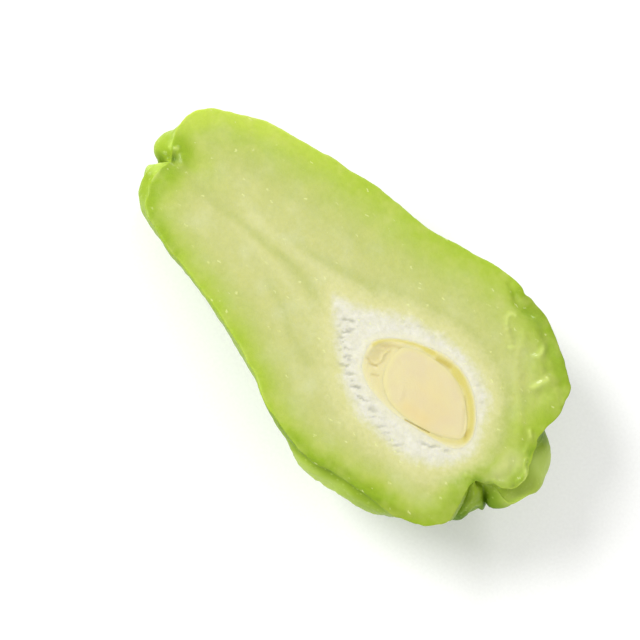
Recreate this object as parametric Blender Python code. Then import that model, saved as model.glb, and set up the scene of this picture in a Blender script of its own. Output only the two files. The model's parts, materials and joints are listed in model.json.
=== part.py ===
"""Half of a chayote squash, cut lengthwise and resting on its rounded back with the cut face up.

Three pieces: the fruit half (skin, flesh and white pith grown as one), the thin coat of the seed, and the
seed kernel inside it. The whole fruit is shaped first, in its own frame: +X from the stem pit to the blossom
cleft, +Y towards the broad side and +Z out of the cut face, with the seed's middle near the origin. Then it
is cut, hollowed for the seed and laid down as its own weight would leave it.
"""

import math

import bmesh
import bpy
import numpy as np
from mathutils import Vector

MM = 0.001  # the lists below are in millimetres, and the scene is in metres

# The fruit, as rings from the stem pit to the blossom cleft. Each row says where one ring meets the cut face
# on the broad side (x, y) and on the straight side (x, y), and where its back is (x, y, depth).
RINGS_MM = [
    ((-104.9, -4.1), (-104.9, -4.1), (-104.9, -4.1, 0)),  # stem pit
    ((-109.2, 0.3), (-105.6, -7.6), (-109, -4.5, 5.5)),
    ((-112.6, 7.6), (-104.9, -12.1), (-112.3, -4, 11)),  # crest of the shoulder round the pit
    ((-111.4, 15.9), (-102.6, -16.5), (-111, -3, 18)),
    ((-104.8, 21.8), (-97.9, -21.3), (-104, -1.5, 24)),
    ((-92.6, 28.3), (-86.6, -24.2), (-91, 0, 27.5)),  # neck
    ((-76, 33.2), (-73, -25.8), (-75, 1.5, 29.5)),
    ((-58.5, 36.7), (-58, -28.5), (-58, 2.5, 32)),
    ((-42, 38.5), (-43, -33), (-42, 3, 35)),
    ((-27, 41.6), (-29, -38), (-27, 3, 38.5)),
    ((-13.5, 45.4), (-16, -40.8), (-12, 3, 41)),
    ((-1, 47), (-4, -38), (2, 2.5, 42)),  # belly, at the seed
    ((12.3, 44.5), (7, -36), (15, 1.5, 40)),
    ((22.9, 38.9), (18.5, -35.2), (26.5, 0, 34.5)),
    ((31.6, 32.3), (28.6, -29.6), (34.5, -1.5, 27)),
    ((34, 23.6), (31.6, -24.2), (37.5, -3.5, 18.5)),  # lips round the cleft
    ((34, 13.2), (30.5, -18.5), (37, -6, 11)),
    ((39, 3.8), (29.6, -14.2), (33, -8, 5)),
    ((37.8, -3.8), (28.8, -12), (30, -9, 2)),
    ((28.5, -9.5), (28.5, -9.5), (28.5, -9.5, 0)),  # blossom cleft
]
PIT_RING, CLEFT_RING = 0, len(RINGS_MM) - 1

# The lengthwise ridges and furrows: (angle, half width) in degrees round the back from the broad side,
# (middle, half length) in rings, and the height in millimetres, which is negative in a furrow.
FOLDS = [
    ((33, 9), (9, 6.5), -1.8),
    ((87, 10), (10, 8), -2.4),
    ((140, 9), (10, 7.5), -2.2),
    ((62, 20), (9, 7), 1.2),
    ((113, 18), (9, 7), 1.2),
    ((162, 12), (11.35, 1.25), 4.2),  # ridge under the straight edge of the belly
    ((163, 14), (13.9, 1.3), -2.2),  # and the hollow beyond it, under the lip
    ((57, 18), (15.4, 1.9), 7.5),  # largest lobe beside the cleft
    ((128, 20), (15.6, 1.7), -1.0),
    ((90, 12), (1.6, 1.3), -2.0),
    ((50, 24), (1.7, 1.2), 2.4),  # lobe behind the stem pit
    ((158, 18), (2.1, 1.6), 2.2),  # rounded shoulder beside it
]

# Local swellings and grooves at the two ends, in millimetres: (x, y and depth of the middle), (reach in each
# of these directions) and (how far it moves in x and y). Depth counts from the cut, so both halves match.
PUSHES_MM = [
    ((-112, -2.4, 6), (4, 4.2, 5), (-0.3, -1.4)),  # lobe behind the stem pit
    ((37.6, 9.5, 3.4), (2.2, 6, 2), (-3.2, -0.6)),  # grooves under the lips
    ((37.5, -7.5, 3.4), (5, 2.4, 2.3), (-0.4, 1.8)),
    ((41, 5, 10), (7, 8, 7), (1.7, -0.4)),  # largest lobe
    ((39.5, 17, 14), (5, 6, 6), (1, 1)),
    ((43, 0, 11), (2.5, 2.5, 6), (-0.8, 0.8)),  # cleft between it and the smallest
    ((40, -5, 11), (5.5, 5, 6), (2.4, -5.6)),  # smallest lobe
    ((38, -12, 14), (3.5, 3.5, 6), (-2, -0.4)),
]

# The seed: the kernel and its coat are flattened eggs, blunt towards the stem.
KERNEL_SIZE_MM = (32.6, 20.6, 15.0)  # length, width, thickness before the cut
KERNEL_MIDDLE_MM = (0.9, -0.6)
COAT_SIZE_MM = (41.6, 25.2, 18.5)
COAT_MIDDLE_MM = (-1.5, 0.4)
SEED_TURN = math.radians(-7)
SEED_TAPER = 0.14
HOLLOW_SIZE_MM = (7.0, 12.0, 2.6)  # the coat's shrunken hollow at its stem end
HOLLOW_MIDDLE_MM = (-18.4, -1.2)
GAP_MM = 0.3  # between the fruit, the coat and the kernel

FACE_POINT_MM = (-60.0, 4.0)  # on the cut face, in the middle of the neck

RING_STEPS = 68
ROUND_STEPS = 76
SEED_RING_STEPS = 18
SEED_ROUND_STEPS = 40


def spline(points, at):
    """The smooth curve through points, which lie at 0, 1, 2 and so on."""
    points = np.asarray(points, float)
    last = len(points) - 1
    index = np.clip(np.floor(at).astype(int), 0, last - 1)
    part = (at - index)[..., None]
    before = points[np.maximum(index - 1, 0)]
    start, end = points[index], points[index + 1]
    after = points[np.minimum(index + 2, last)]
    cubic = 3 * (start - end) + after - before
    square = 2 * before - 5 * start + 4 * end - after
    return start + 0.5 * part * (end - before + part * (square + part * cubic))


def smooth_body(ring, angle):
    """The fruit without its folds. The angle runs from the broad side round the back to the straight side."""
    broad = spline([row[0] for row in RINGS_MM], ring)
    straight = spline([row[1] for row in RINGS_MM], ring)
    back = spline([row[2] for row in RINGS_MM], ring)
    side, down = np.cos(angle), np.sin(angle)
    x = np.where(side > 0, broad[..., 0], straight[..., 0]) * side**2 + back[..., 0] * down**2
    turn = np.abs(angle) / math.pi
    blend = turn**2 * (3 - 2 * turn)
    reach = (broad[..., 1] - back[..., 1]) * (1 - blend) + (back[..., 1] - straight[..., 1]) * blend
    return np.stack([x, back[..., 1] + reach * side, -back[..., 2] * down], axis=-1)


def fold_height(ring, angle):
    """How far the ridges and furrows move the surface outwards."""
    height = 0.0
    for (middle, width), (centre, reach), top in FOLDS:
        across = (np.degrees(np.abs(angle)) - middle) / width
        along = (ring - centre) / reach
        height = height + top * np.exp(-(across**2) - along**4)
    return height


def fruit_point(ring, angle):
    """Points of the skin, in millimetres: the smooth body, moved along its outward normal by the folds."""
    step = 1e-3
    ring = np.clip(ring, PIT_RING + step, CLEFT_RING - step)
    along = smooth_body(ring + step, angle) - smooth_body(ring - step, angle)
    around = smooth_body(ring, angle + step) - smooth_body(ring, angle - step)
    normal = np.cross(along, around)
    normal /= np.linalg.norm(normal, axis=-1, keepdims=True)
    return smooth_body(ring, angle) + normal * fold_height(ring, angle)[..., None]


def pushed(points):
    """The points after all pushes, each of which fades with the distance from its middle."""
    deep = np.column_stack([points[:, :2], np.abs(points[:, 2])])
    moved = points.copy()
    for middle, reach, move in PUSHES_MM:
        near = np.exp(-(((deep - middle) / reach) ** 2).sum(axis=1))
        moved[:, :2] += near[:, None] * move
    return moved


def material(name, colour, roughness):
    made = bpy.data.materials.new(name)
    made.use_nodes = True
    made.diffuse_color = (*colour, 1)
    shader = made.node_tree.nodes["Principled BSDF"]
    shader.inputs["Base Color"].default_value = (*colour, 1)
    shader.inputs["Metallic"].default_value = 0
    shader.inputs["Roughness"].default_value = roughness
    return made


def collection(name):
    made = bpy.data.collections.new(name)
    bpy.context.scene.collection.children.link(made)
    return made


def finish_mesh(shape, name, into, look=None):
    """Turns a bmesh in millimetres into an object in metres."""
    bmesh.ops.recalc_face_normals(shape, faces=shape.faces)
    bmesh.ops.scale(shape, vec=(MM, MM, MM), verts=shape.verts)
    mesh = bpy.data.meshes.new(name)
    shape.to_mesh(mesh)
    shape.free()
    mesh.shade_smooth()
    mesh.set_sharp_from_angle(angle=math.radians(50))
    made = bpy.data.objects.new(name, mesh)
    into.objects.link(made)
    if look:
        mesh.materials.append(look)
    return made


def cut_by_knife(shape):
    """Takes away all above the cut plane and closes the cut with one flat face."""
    everything = shape.verts[:] + shape.edges[:] + shape.faces[:]
    cut = bmesh.ops.bisect_plane(
        shape, geom=everything, dist=1e-4, plane_co=(0, 0, 0), plane_no=(0, 0, 1), clear_outer=True
    )
    rim = [piece for piece in cut["geom_cut"] if isinstance(piece, bmesh.types.BMEdge)]
    bmesh.ops.edgeloop_fill(shape, edges=rim)


def fruit_shape():
    """The whole fruit: a sphere whose poles become the stem pit and the blossom cleft, cut in half."""
    shape = bmesh.new()
    bmesh.ops.create_uvsphere(shape, u_segments=ROUND_STEPS, v_segments=RING_STEPS, radius=1)
    places = np.array([vert.co for vert in shape.verts])
    ring = np.arccos(np.clip(places[:, 2], -1, 1)) / math.pi * CLEFT_RING
    angle = np.arctan2(places[:, 1], places[:, 0])
    angle[np.abs(places[:, 2]) > 1 - 1e-6] = 0
    for vert, place in zip(shape.verts, pushed(fruit_point(ring, angle))):
        vert.co = place
    cut_by_knife(shape)
    return shape


def seed_shape(size, middle, grow=0.0):
    """A flattened egg with its long axis turned by SEED_TURN, cut in half by the same knife."""
    shape = bmesh.new()
    bmesh.ops.create_uvsphere(
        shape, u_segments=SEED_ROUND_STEPS, v_segments=SEED_RING_STEPS, radius=1
    )
    for vert in shape.verts:
        blunt = 1 - SEED_TAPER * vert.co.x
        x = (size[0] / 2 + grow) * vert.co.x
        y = (size[1] / 2 + grow) * vert.co.y * blunt
        vert.co = (
            middle[0] + x * math.cos(SEED_TURN) - y * math.sin(SEED_TURN),
            middle[1] + x * math.sin(SEED_TURN) + y * math.cos(SEED_TURN),
            (size[2] / 2 + grow) * vert.co.z * blunt,
        )
    return shape


def cut_away(piece, cutter):
    """A Boolean cut, with the cutter left out of what is drawn."""
    cutter.hide_render = True
    cutter.display_type = "WIRE"
    cut = piece.modifiers.new("cut " + cutter.name, "BOOLEAN")
    cut.operation = "DIFFERENCE"
    cut.solver = "EXACT"
    cut.object = cutter


def resting_pose(piece):
    """The roll and pitch that rest the piece on the facet of its hull that its weight falls inside.

    The facets of the cut face are left out, because the half lies with that face up.
    """
    graph = bpy.context.evaluated_depsgraph_get()
    hull = bmesh.new()
    hull.from_mesh(piece.evaluated_get(graph).to_mesh())
    bmesh.ops.triangulate(hull, faces=hull.faces)
    volume, weight = 0.0, Vector()
    for face in hull.faces:
        a, b, c = (corner.co for corner in face.verts)
        part = a.dot(b.cross(c))
        volume += part
        weight += part * (a + b + c) / 4
    weight /= volume
    shell = bmesh.ops.convex_hull(hull, input=hull.verts)
    loose = [vert for vert in shell["geom_interior"] if isinstance(vert, bmesh.types.BMVert)]
    bmesh.ops.delete(hull, geom=loose, context="VERTS")
    lowest, down = math.inf, None
    for face in hull.faces:
        normal = face.normal if face.normal.dot(face.verts[0].co - weight) > 0 else -face.normal
        height = normal.dot(face.verts[0].co - weight)
        foot = weight + normal * height
        corners = [corner.co for corner in face.verts]
        sides = [
            (corners[i] - corners[i - 1]).cross(foot - corners[i - 1]).dot(face.normal)
            for i in range(len(corners))
        ]
        if normal.z < 0 and height < lowest and min(sides) >= 0:
            lowest, down = height, normal.copy()
    hull.free()
    roll = math.atan2(-down.y, -down.z)
    pitch = math.atan2(down.x, math.hypot(down.y, down.z))
    return roll, pitch


def lay_down(pieces, fruit, name):
    """Puts all pieces under one empty that holds the resting pose, over the origin and on the ground."""
    holder = bpy.data.objects.new(name, None)
    bpy.context.scene.collection.objects.link(holder)
    roll, pitch = resting_pose(fruit)
    holder.rotation_euler = (roll, pitch, 0)
    for piece in pieces:
        piece.parent = holder
    bpy.context.view_layer.update()
    places = np.array([fruit.matrix_world @ vert.co for vert in fruit.data.vertices])
    low, high = places.min(axis=0), places.max(axis=0)
    holder.location = (-(low[0] + high[0]) / 2, -(low[1] + high[1]) / 2, -low[2])
    bpy.context.view_layer.update()
    return holder


def main():
    for old in list(bpy.data.objects):
        bpy.data.objects.remove(old, do_unlink=True)
    parts = collection("halved_chayote")
    cutters = collection("cutters")

    fruit = finish_mesh(
        fruit_shape(), "fruit_half", parts, material("chayote flesh", (0.55, 0.66, 0.20), 0.35)
    )
    coat = seed_shape(COAT_SIZE_MM, COAT_MIDDLE_MM)
    cut_by_knife(coat)
    coat = finish_mesh(coat, "seed_coat", parts, material("seed coat", (0.78, 0.72, 0.30), 0.4))
    kernel = seed_shape(KERNEL_SIZE_MM, KERNEL_MIDDLE_MM)
    cut_by_knife(kernel)
    kernel = finish_mesh(
        kernel, "seed_kernel", parts, material("seed kernel", (0.83, 0.72, 0.42), 0.45)
    )

    chamber = seed_shape(COAT_SIZE_MM, COAT_MIDDLE_MM, GAP_MM)
    cut_away(fruit, finish_mesh(chamber, "seed_chamber", cutters))
    bed = seed_shape(KERNEL_SIZE_MM, KERNEL_MIDDLE_MM, GAP_MM)
    cut_away(coat, finish_mesh(bed, "kernel_bed", cutters))
    hollow = seed_shape(HOLLOW_SIZE_MM, HOLLOW_MIDDLE_MM)
    cut_away(coat, finish_mesh(hollow, "coat_hollow", cutters))

    helpers = list(cutters.objects)
    holder = lay_down([fruit, coat, kernel] + helpers, fruit, "resting_pose")
    face_point = holder.matrix_world @ Vector((FACE_POINT_MM[0] * MM, FACE_POINT_MM[1] * MM, 0))
    face_normal = holder.matrix_world.to_3x3() @ Vector((0, 0, 1))
    print("cut face point", [round(value, 6) for value in face_point])
    print("cut face normal", [round(value, 6) for value in face_normal])
    print("roll and pitch", [round(math.degrees(value), 3) for value in holder.rotation_euler[:2]])


main()
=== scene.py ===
# %% [markdown]
# # Half of a chayote squash
#
# A chayote is a pear-shaped squash with a single flat seed. This half was cut lengthwise with a knife and
# lies on its rounded back, so the cut face looks up. Skin, flesh and white pith grew as one, and the seed's
# coat and the kernel inside it are the two pieces that come away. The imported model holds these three
# pieces as plain solids. Here each one is built again as a finer mesh in the same place, and gets its
# finish.

import json
import math

import bmesh
import bpy
import numpy as np
from mathutils import Matrix, Vector, geometry, noise


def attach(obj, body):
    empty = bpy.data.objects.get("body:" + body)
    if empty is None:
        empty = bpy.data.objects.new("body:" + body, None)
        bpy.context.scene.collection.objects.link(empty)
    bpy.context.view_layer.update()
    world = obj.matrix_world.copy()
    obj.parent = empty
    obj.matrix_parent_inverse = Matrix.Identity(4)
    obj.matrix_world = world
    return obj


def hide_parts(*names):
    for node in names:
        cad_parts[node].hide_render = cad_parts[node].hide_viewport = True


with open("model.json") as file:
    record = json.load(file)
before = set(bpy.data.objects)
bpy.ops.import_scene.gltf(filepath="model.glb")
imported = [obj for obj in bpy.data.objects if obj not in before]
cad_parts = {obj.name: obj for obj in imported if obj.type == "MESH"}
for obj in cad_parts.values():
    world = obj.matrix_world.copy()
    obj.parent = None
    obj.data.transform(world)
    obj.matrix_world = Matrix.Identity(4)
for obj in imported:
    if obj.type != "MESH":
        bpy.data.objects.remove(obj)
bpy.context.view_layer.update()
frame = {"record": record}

# %% [markdown]
# ## The fruit's own frame
#
# A natural shape is easiest to describe before it is laid down. All lists below are in millimetres in the
# fruit's own frame: +X runs from the stem pit to the blossom cleft, +Y to the broad side and +Z out of the
# cut face, with the seed's middle near the origin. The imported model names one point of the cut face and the
# way that the face looks, and that is enough to find how the half was turned and moved when it was laid down.

# %% From the fruit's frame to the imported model's
MM = 0.001
FACE_POINT_MM = np.array([-60.0, 4.0, 0.0])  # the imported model's cut face point, in the neck

cut_face = frame["record"]["mounts"][0]
face_up = Vector(cut_face["axis"])
roll, pitch = -math.asin(face_up.y), math.atan2(face_up.x, face_up.z)
LAID_TURN = np.array(Matrix.Rotation(pitch, 3, "Y") @ Matrix.Rotation(roll, 3, "X"))
LAID_SHIFT = np.array(cut_face["pos_m"]) - LAID_TURN @ FACE_POINT_MM * MM


def laid_down(points_mm):
    """Points of the fruit's own frame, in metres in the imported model's frame."""
    return np.asarray(points_mm) * MM @ LAID_TURN.T + LAID_SHIFT


print(f"laid down with a roll of {math.degrees(roll):.2f} and a pitch of {math.degrees(pitch):.2f} degrees")

# %% [markdown]
# ## Camera
#
# The camera stands almost above the half and looks down on the cut face, a little from the straight side.
# An 85 mm lens from under half a metre keeps the shape nearly free of perspective. The camera's place and
# the two directions that turn it are given in the fruit's frame, so they follow the fruit.

# %% Camera
CAMERA_MM = (-2.3, -143.3, 433.4)
CAMERA_BACK = Vector((0.0788, -0.2988, 0.9511))  # from what it looks at towards the camera
CAMERA_TOP = Vector((-0.6934, 0.6690, 0.2676))

camera = bpy.data.objects.new("camera", bpy.data.cameras.new("camera"))
camera.data.lens = 85
camera.data.sensor_width = 36
camera.data.clip_start = 0.01
right = CAMERA_TOP.cross(CAMERA_BACK).normalized()
axes = np.array([right, CAMERA_BACK.cross(right).normalized(), CAMERA_BACK.normalized()]).T
camera.matrix_world = Matrix.Translation(laid_down(CAMERA_MM)) @ Matrix(LAID_TURN @ axes).to_4x4()
bpy.context.scene.collection.objects.link(camera)
bpy.context.scene.camera = camera
print("camera at", [round(side, 3) for side in camera.location], "m")

# %% [markdown]
# ## The shape of the fruit
#
# The fruit is described as a row of rings from the stem pit to the blossom cleft. Each ring says where it
# meets the cut face on both sides and how deep its back is, and smooth curves join the rings. On top of
# that come the lengthwise ridges and furrows that every chayote has. These are the numbers that the solid
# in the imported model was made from, so the fine mesh fits it.

# %% Rings
RINGS_MM = [
    ((-104.9, -4.1), (-104.9, -4.1), (-104.9, -4.1, 0)),  # stem pit
    ((-109.2, 0.3), (-105.6, -7.6), (-109, -4.5, 5.5)),
    ((-112.6, 7.6), (-104.9, -12.1), (-112.3, -4, 11)),  # crest of the shoulder round the pit
    ((-111.4, 15.9), (-102.6, -16.5), (-111, -3, 18)),
    ((-104.8, 21.8), (-97.9, -21.3), (-104, -1.5, 24)),
    ((-92.6, 28.3), (-86.6, -24.2), (-91, 0, 27.5)),  # neck
    ((-76, 33.2), (-73, -25.8), (-75, 1.5, 29.5)),
    ((-58.5, 36.7), (-58, -28.5), (-58, 2.5, 32)),
    ((-42, 38.5), (-43, -33), (-42, 3, 35)),
    ((-27, 41.6), (-29, -38), (-27, 3, 38.5)),
    ((-13.5, 45.4), (-16, -40.8), (-12, 3, 41)),
    ((-1, 47), (-4, -38), (2, 2.5, 42)),  # belly, at the seed
    ((12.3, 44.5), (7, -36), (15, 1.5, 40)),
    ((22.9, 38.9), (18.5, -35.2), (26.5, 0, 34.5)),
    ((31.6, 32.3), (28.6, -29.6), (34.5, -1.5, 27)),
    ((34, 23.6), (31.6, -24.2), (37.5, -3.5, 18.5)),  # lips round the cleft
    ((34, 13.2), (30.5, -18.5), (37, -6, 11)),
    ((39, 3.8), (29.6, -14.2), (33, -8, 5)),
    ((37.8, -3.8), (28.8, -12), (30, -9, 2)),
    ((28.5, -9.5), (28.5, -9.5), (28.5, -9.5, 0)),  # blossom cleft
]
PIT_RING, CLEFT_RING = 0, len(RINGS_MM) - 1
print(len(RINGS_MM), "rings from the stem pit to the blossom cleft")

# %% Ridges, furrows and lobes
# (angle, half width) in degrees round the back from the broad side, (middle, half length) in rings, and the
# height in millimetres, which is negative in a furrow.
FOLDS = [
    ((33, 9), (9, 6.5), -1.8),
    ((87, 10), (10, 8), -2.4),
    ((140, 9), (10, 7.5), -2.2),
    ((62, 20), (9, 7), 1.2),
    ((113, 18), (9, 7), 1.2),
    ((162, 12), (11.35, 1.25), 4.2),  # ridge under the straight edge of the belly
    ((163, 14), (13.9, 1.3), -2.2),  # and the hollow beyond it, under the lip
    ((57, 18), (15.4, 1.9), 7.5),  # largest lobe beside the cleft
    ((128, 20), (15.6, 1.7), -1.0),
    ((90, 12), (1.6, 1.3), -2.0),
    ((50, 24), (1.7, 1.2), 2.4),  # lobe behind the stem pit
    ((158, 18), (2.1, 1.6), 2.2),  # rounded shoulder beside it
]
print(len(FOLDS), "folds, from", min(fold[2] for fold in FOLDS), "to", max(fold[2] for fold in FOLDS), "mm")


# %% From rings to a surface
def spline(points, at):
    """The smooth curve through points, which lie at 0, 1, 2 and so on."""
    points = np.asarray(points, float)
    last = len(points) - 1
    index = np.clip(np.floor(at).astype(int), 0, last - 1)
    part = (at - index)[..., None]
    before = points[np.maximum(index - 1, 0)]
    start, end = points[index], points[index + 1]
    after = points[np.minimum(index + 2, last)]
    cubic = 3 * (start - end) + after - before
    square = 2 * before - 5 * start + 4 * end - after
    return start + 0.5 * part * (end - before + part * (square + part * cubic))


def smooth_body(ring, angle):
    """The fruit without its folds. The angle runs from the broad side round the back to the straight side."""
    broad = spline([row[0] for row in RINGS_MM], ring)
    straight = spline([row[1] for row in RINGS_MM], ring)
    back = spline([row[2] for row in RINGS_MM], ring)
    side, down = np.cos(angle), np.sin(angle)
    x = np.where(side > 0, broad[..., 0], straight[..., 0]) * side**2 + back[..., 0] * down**2
    turn = angle / math.pi
    blend = turn**2 * (3 - 2 * turn)
    reach = (broad[..., 1] - back[..., 1]) * (1 - blend) + (back[..., 1] - straight[..., 1]) * blend
    return np.stack([x, back[..., 1] + reach * side, -back[..., 2] * down], axis=-1)


def fold_share(place, ring, angle):
    """1 along the middle of a fold, and falling off smoothly to its sides and ends."""
    (middle, width), (centre, reach) = place
    return np.exp(-(((np.degrees(angle) - middle) / width) ** 2) - ((ring - centre) / reach) ** 4)


def fold_height(ring, angle):
    """How far the ridges and furrows move the surface outwards."""
    return sum(top * fold_share(place, ring, angle) for *place, top in FOLDS)


# The folds fade out at the stem pit, where all the rings' points come together.
FADE_RINGS = 1.5


def fruit_skin(ring, angle):
    """Points of the skin in millimetres, and the way each looks."""
    step = 1e-3
    ring = np.clip(ring, PIT_RING + step, CLEFT_RING - step)
    along = smooth_body(ring + step, angle) - smooth_body(ring - step, angle)
    around = smooth_body(ring, angle + step) - smooth_body(ring, angle - step)
    normal = np.cross(along, around)
    normal /= np.linalg.norm(normal, axis=-1, keepdims=True)
    height = fold_height(ring, angle) * np.clip(ring / FADE_RINGS, 0, 1)
    return smooth_body(ring, angle) + normal * height[..., None], normal


# %% [markdown]
# ## A grid over the skin
#
# The skin's grid has one row for each place along the fruit and one column for each angle round its back.
# Rows that are evenly spaced by ring number would crowd at the two ends and be sparse in the neck. Walking
# along the outline and putting a row every half millimetre or so gives cells of about the same size
# everywhere, and the fine relief then shows equally well all over.

# %% Rows and columns of the skin
SKIN_ROWS, SKIN_COLUMNS = 330, 140
FINE_STEPS = 3000  # for measuring the length of the outline


def even_rows(count):
    """Ring numbers that are evenly spaced along the outline and the back."""
    fine = np.linspace(PIT_RING, CLEFT_RING, FINE_STEPS)
    lines = [fruit_skin(fine, np.full_like(fine, angle))[0] for angle in (0, math.pi / 2, math.pi)]
    steps = sum(np.linalg.norm(np.diff(line, axis=0), axis=1) for line in lines)
    walked = np.concatenate([[0], np.cumsum(steps)])
    return np.interp(np.linspace(0, walked[-1], count), walked, fine)


skin_ring, skin_angle = np.meshgrid(
    even_rows(SKIN_ROWS), np.linspace(0, math.pi, SKIN_COLUMNS), indexing="ij"
)
skin, skin_normal = fruit_skin(skin_ring, skin_angle)
row_step = np.linalg.norm(skin[101, 70] - skin[100, 70])
print("skin grid", skin.shape, "with rows", round(row_step, 2), "mm apart")

# %% [markdown]
# ## Relief of the skin
#
# A chayote's skin is never smooth: it has low swellings, small dents, sharp creases at the bottom of each
# furrow, and short wrinkles that cross the furrows and gather round both ends. All of it could be faked
# with a bump in the material, but the outline would stay smooth. So the grid itself moves, along its
# normals, by sums of smooth noise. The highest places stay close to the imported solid, and the rest lies a
# little below, so that the fruit keeps its size.


# %% Swellings, creases and wrinkles
def bumps(points_mm, size_mm, octaves=2):
    """Smooth random bumps from about -1 to 1. A size with three numbers stretches them."""
    scaled = np.asarray(points_mm, float).reshape(-1, 3) / size_mm
    heights = [noise.fractal(Vector(point), 1.0, 2.0, octaves) for point in scaled]
    return np.array(heights).reshape(np.asarray(points_mm).shape[:-1])


def step_up(value, low, high):
    """0 below low and 1 above high, with a smooth step between."""
    part = np.clip((value - low) / (high - low), 0, 1)
    return part**2 * (3 - 2 * part)


CREASE_ANGLES = (33, 87, 140)  # degrees, at the bottoms of the three furrows of the back
CREASE_WIDTH, CREASE_DEPTH_MM = 2.4, 1.3
# (angle, half width) in degrees and (middle, half length) in rings, as for the folds
EDGE_CREASE, EDGE_CREASE_DEPTH_MM = ((175.6, 2.3), (11.2, 1.6)), 1.0  # just under the edge of the belly
EDGE_SHADE = ((178, 4), (10.8, 2.2))  # where that crease is in shade
EDGE_RIDGE, EDGE_BUMPS_MM = ((164, 9), (11.3, 1.8)), 0.4  # the ridge below it, which has small bumps
HIGHEST_RIDGE_MM = 4.5  # above this the skin gets no paler

wander = 4 * bumps(skin, 30)
crease = sum(
    np.exp(-(((np.degrees(skin_angle) + wander - angle) / CREASE_WIDTH) ** 2)) for angle in CREASE_ANGLES
)
crease *= step_up(skin_ring, 1.5, 4.5) * (0.55 + 0.45 * bumps(skin, 18))
near_ends = 1 - step_up(skin_ring, 1, 6) + step_up(skin_ring, 12.5, 15)
furrow = np.clip(-fold_height(skin_ring, skin_angle) / 2, 0, 1)
wrinkles = bumps(skin, (3.2, 11, 11)) * (0.14 + 0.65 * furrow + 0.4 * near_ends)

skin_relief = 0.8 * bumps(skin, 15) + 0.25 * bumps(skin, 5.5, 3) - 0.4
skin_relief += wrinkles - CREASE_DEPTH_MM * crease
skin_relief -= EDGE_CREASE_DEPTH_MM * fold_share(EDGE_CREASE, skin_ring, skin_angle)
edge_bumps = EDGE_BUMPS_MM * bumps(skin, (3.4, 2.2, 2.2), 3)
skin_relief += edge_bumps * fold_share(EDGE_RIDGE, skin_ring, skin_angle)
skin_relief *= step_up(skin_ring, 0, 0.8) * (1 - step_up(skin_ring, 18, 19))
skin += skin_normal * skin_relief[..., None]
ridge_mm = np.minimum(fold_height(skin_ring, skin_angle) + 1.6 * skin_relief, HIGHEST_RIDGE_MM)
print(f"relief from {skin_relief.min():.2f} to {skin_relief.max():.2f} mm")

# %% [markdown]
# ## Outlines on the cut face
#
# The knife has opened four regions: green rind, pale flesh, white pith round the seed, and the seed. Each
# border is one smooth closed curve through a few points. Two questions are asked of such a curve: is a
# point inside it, and how far away is it? With the distance to a border, a finish can fade across it.

# %% Borders of the pith, the seed's coat and the kernel
# (x, y) in millimetres on the cut face
PITH_EDGE_MM = [
    (-41.4, 1.4), (-35.6, -4.8), (-29.6, -9.8), (-23.7, -14.5), (-12.3, -20.4), (1.9, -21), (14.6, -17.2),
    (19.2, -12.6), (22, -6.4), (21.6, 0.4), (16.4, 10.8), (10.6, 15.6), (-2.3, 18), (-18.2, 14),
    (-31, 6.4), (-36.6, 3.6),
]
COAT_EDGE_MM = [
    (-22.5, -0.8), (-20, 3.6), (-15.9, 7.3), (-11.3, 9.9), (-3, 12.9), (5.5, 12.3), (13.2, 7.9),
    (18.6, 1.2), (19.4, -3.6), (17.0, -7.2), (8.8, -9.9), (1.5, -11.4), (-5, -12.2), (-13.6, -11.6),
    (-19.9, -8),
]
KERNEL_EDGE_MM = [
    (-15.1, 3.2), (-14.5, -2.2), (-11.8, -7.2), (-7.6, -9.9), (-3, -10.7), (1.8, -10.3), (6.1, -9.2),
    (10.6, -7.6), (15.1, -4.9), (17, -2.4), (14.9, 1.9), (8.4, 7.3), (1.1, 9.5), (-7.7, 8.7),
    (-13.2, 6.2),
]


# %% Closed curves, and distances from them
def closed_curve(points, count):
    """A smooth closed curve through points."""
    wrapped = np.concatenate([points[-1:], points, points[:2]])
    return spline(wrapped, 1 + np.linspace(0, len(points), count, endpoint=False))


AT_ONCE = 1500  # points that are measured together, so that the tables stay small


def distance_mm(points, line):
    """How far each point lies from an open line."""
    start, step = line[:-1], np.diff(line, axis=0)
    found = []
    for some in np.array_split(points, len(points) // AT_ONCE + 1):
        offset = some[:, None] - start
        along = np.clip((offset * step).sum(-1) / (step**2).sum(-1), 0, 1)
        found.append(np.linalg.norm(offset - along[..., None] * step, axis=-1).min(axis=1))
    return np.concatenate(found)


def inside_mm(points, loop):
    """How far each point lies inside a closed curve, which is negative outside it."""
    x, y = points.T
    within = np.zeros(len(points), bool)
    for (x0, y0), (x1, y1) in zip(loop, np.roll(loop, -1, axis=0)):
        if y0 != y1:
            within ^= ((y0 > y) != (y1 > y)) & (x < (x1 - x0) * (y - y0) / (y1 - y0) + x0)
    away = distance_mm(points, np.concatenate([loop, loop[:1]]))
    return np.where(within, away, -away)


def around(loop, angle):
    """Points of a closed curve in the given directions from the seed's middle."""
    close = np.concatenate([loop[-1:], loop, loop[:1]])
    turned = np.unwrap(np.arctan2(close[:, 1], close[:, 0]))
    order = 1 if turned[-1] > turned[0] else -1
    turned, close = turned[::order], close[::order]
    wanted = (angle - turned[0]) % (2 * math.pi) + turned[0]
    reach = np.interp(wanted, turned, np.linalg.norm(close, axis=1))
    return reach[..., None] * np.stack([np.cos(angle), np.sin(angle)], axis=-1)


pith_edge = closed_curve(PITH_EDGE_MM, 240)
coat_edge = closed_curve(COAT_EDGE_MM, 600)
kernel_edge = closed_curve(KERNEL_EDGE_MM, 600)
for name, edge in (("pith", pith_edge), ("coat", coat_edge), ("kernel", kernel_edge)):
    print(name, "measures", np.round(np.ptp(edge, axis=0), 1), "mm")

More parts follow.
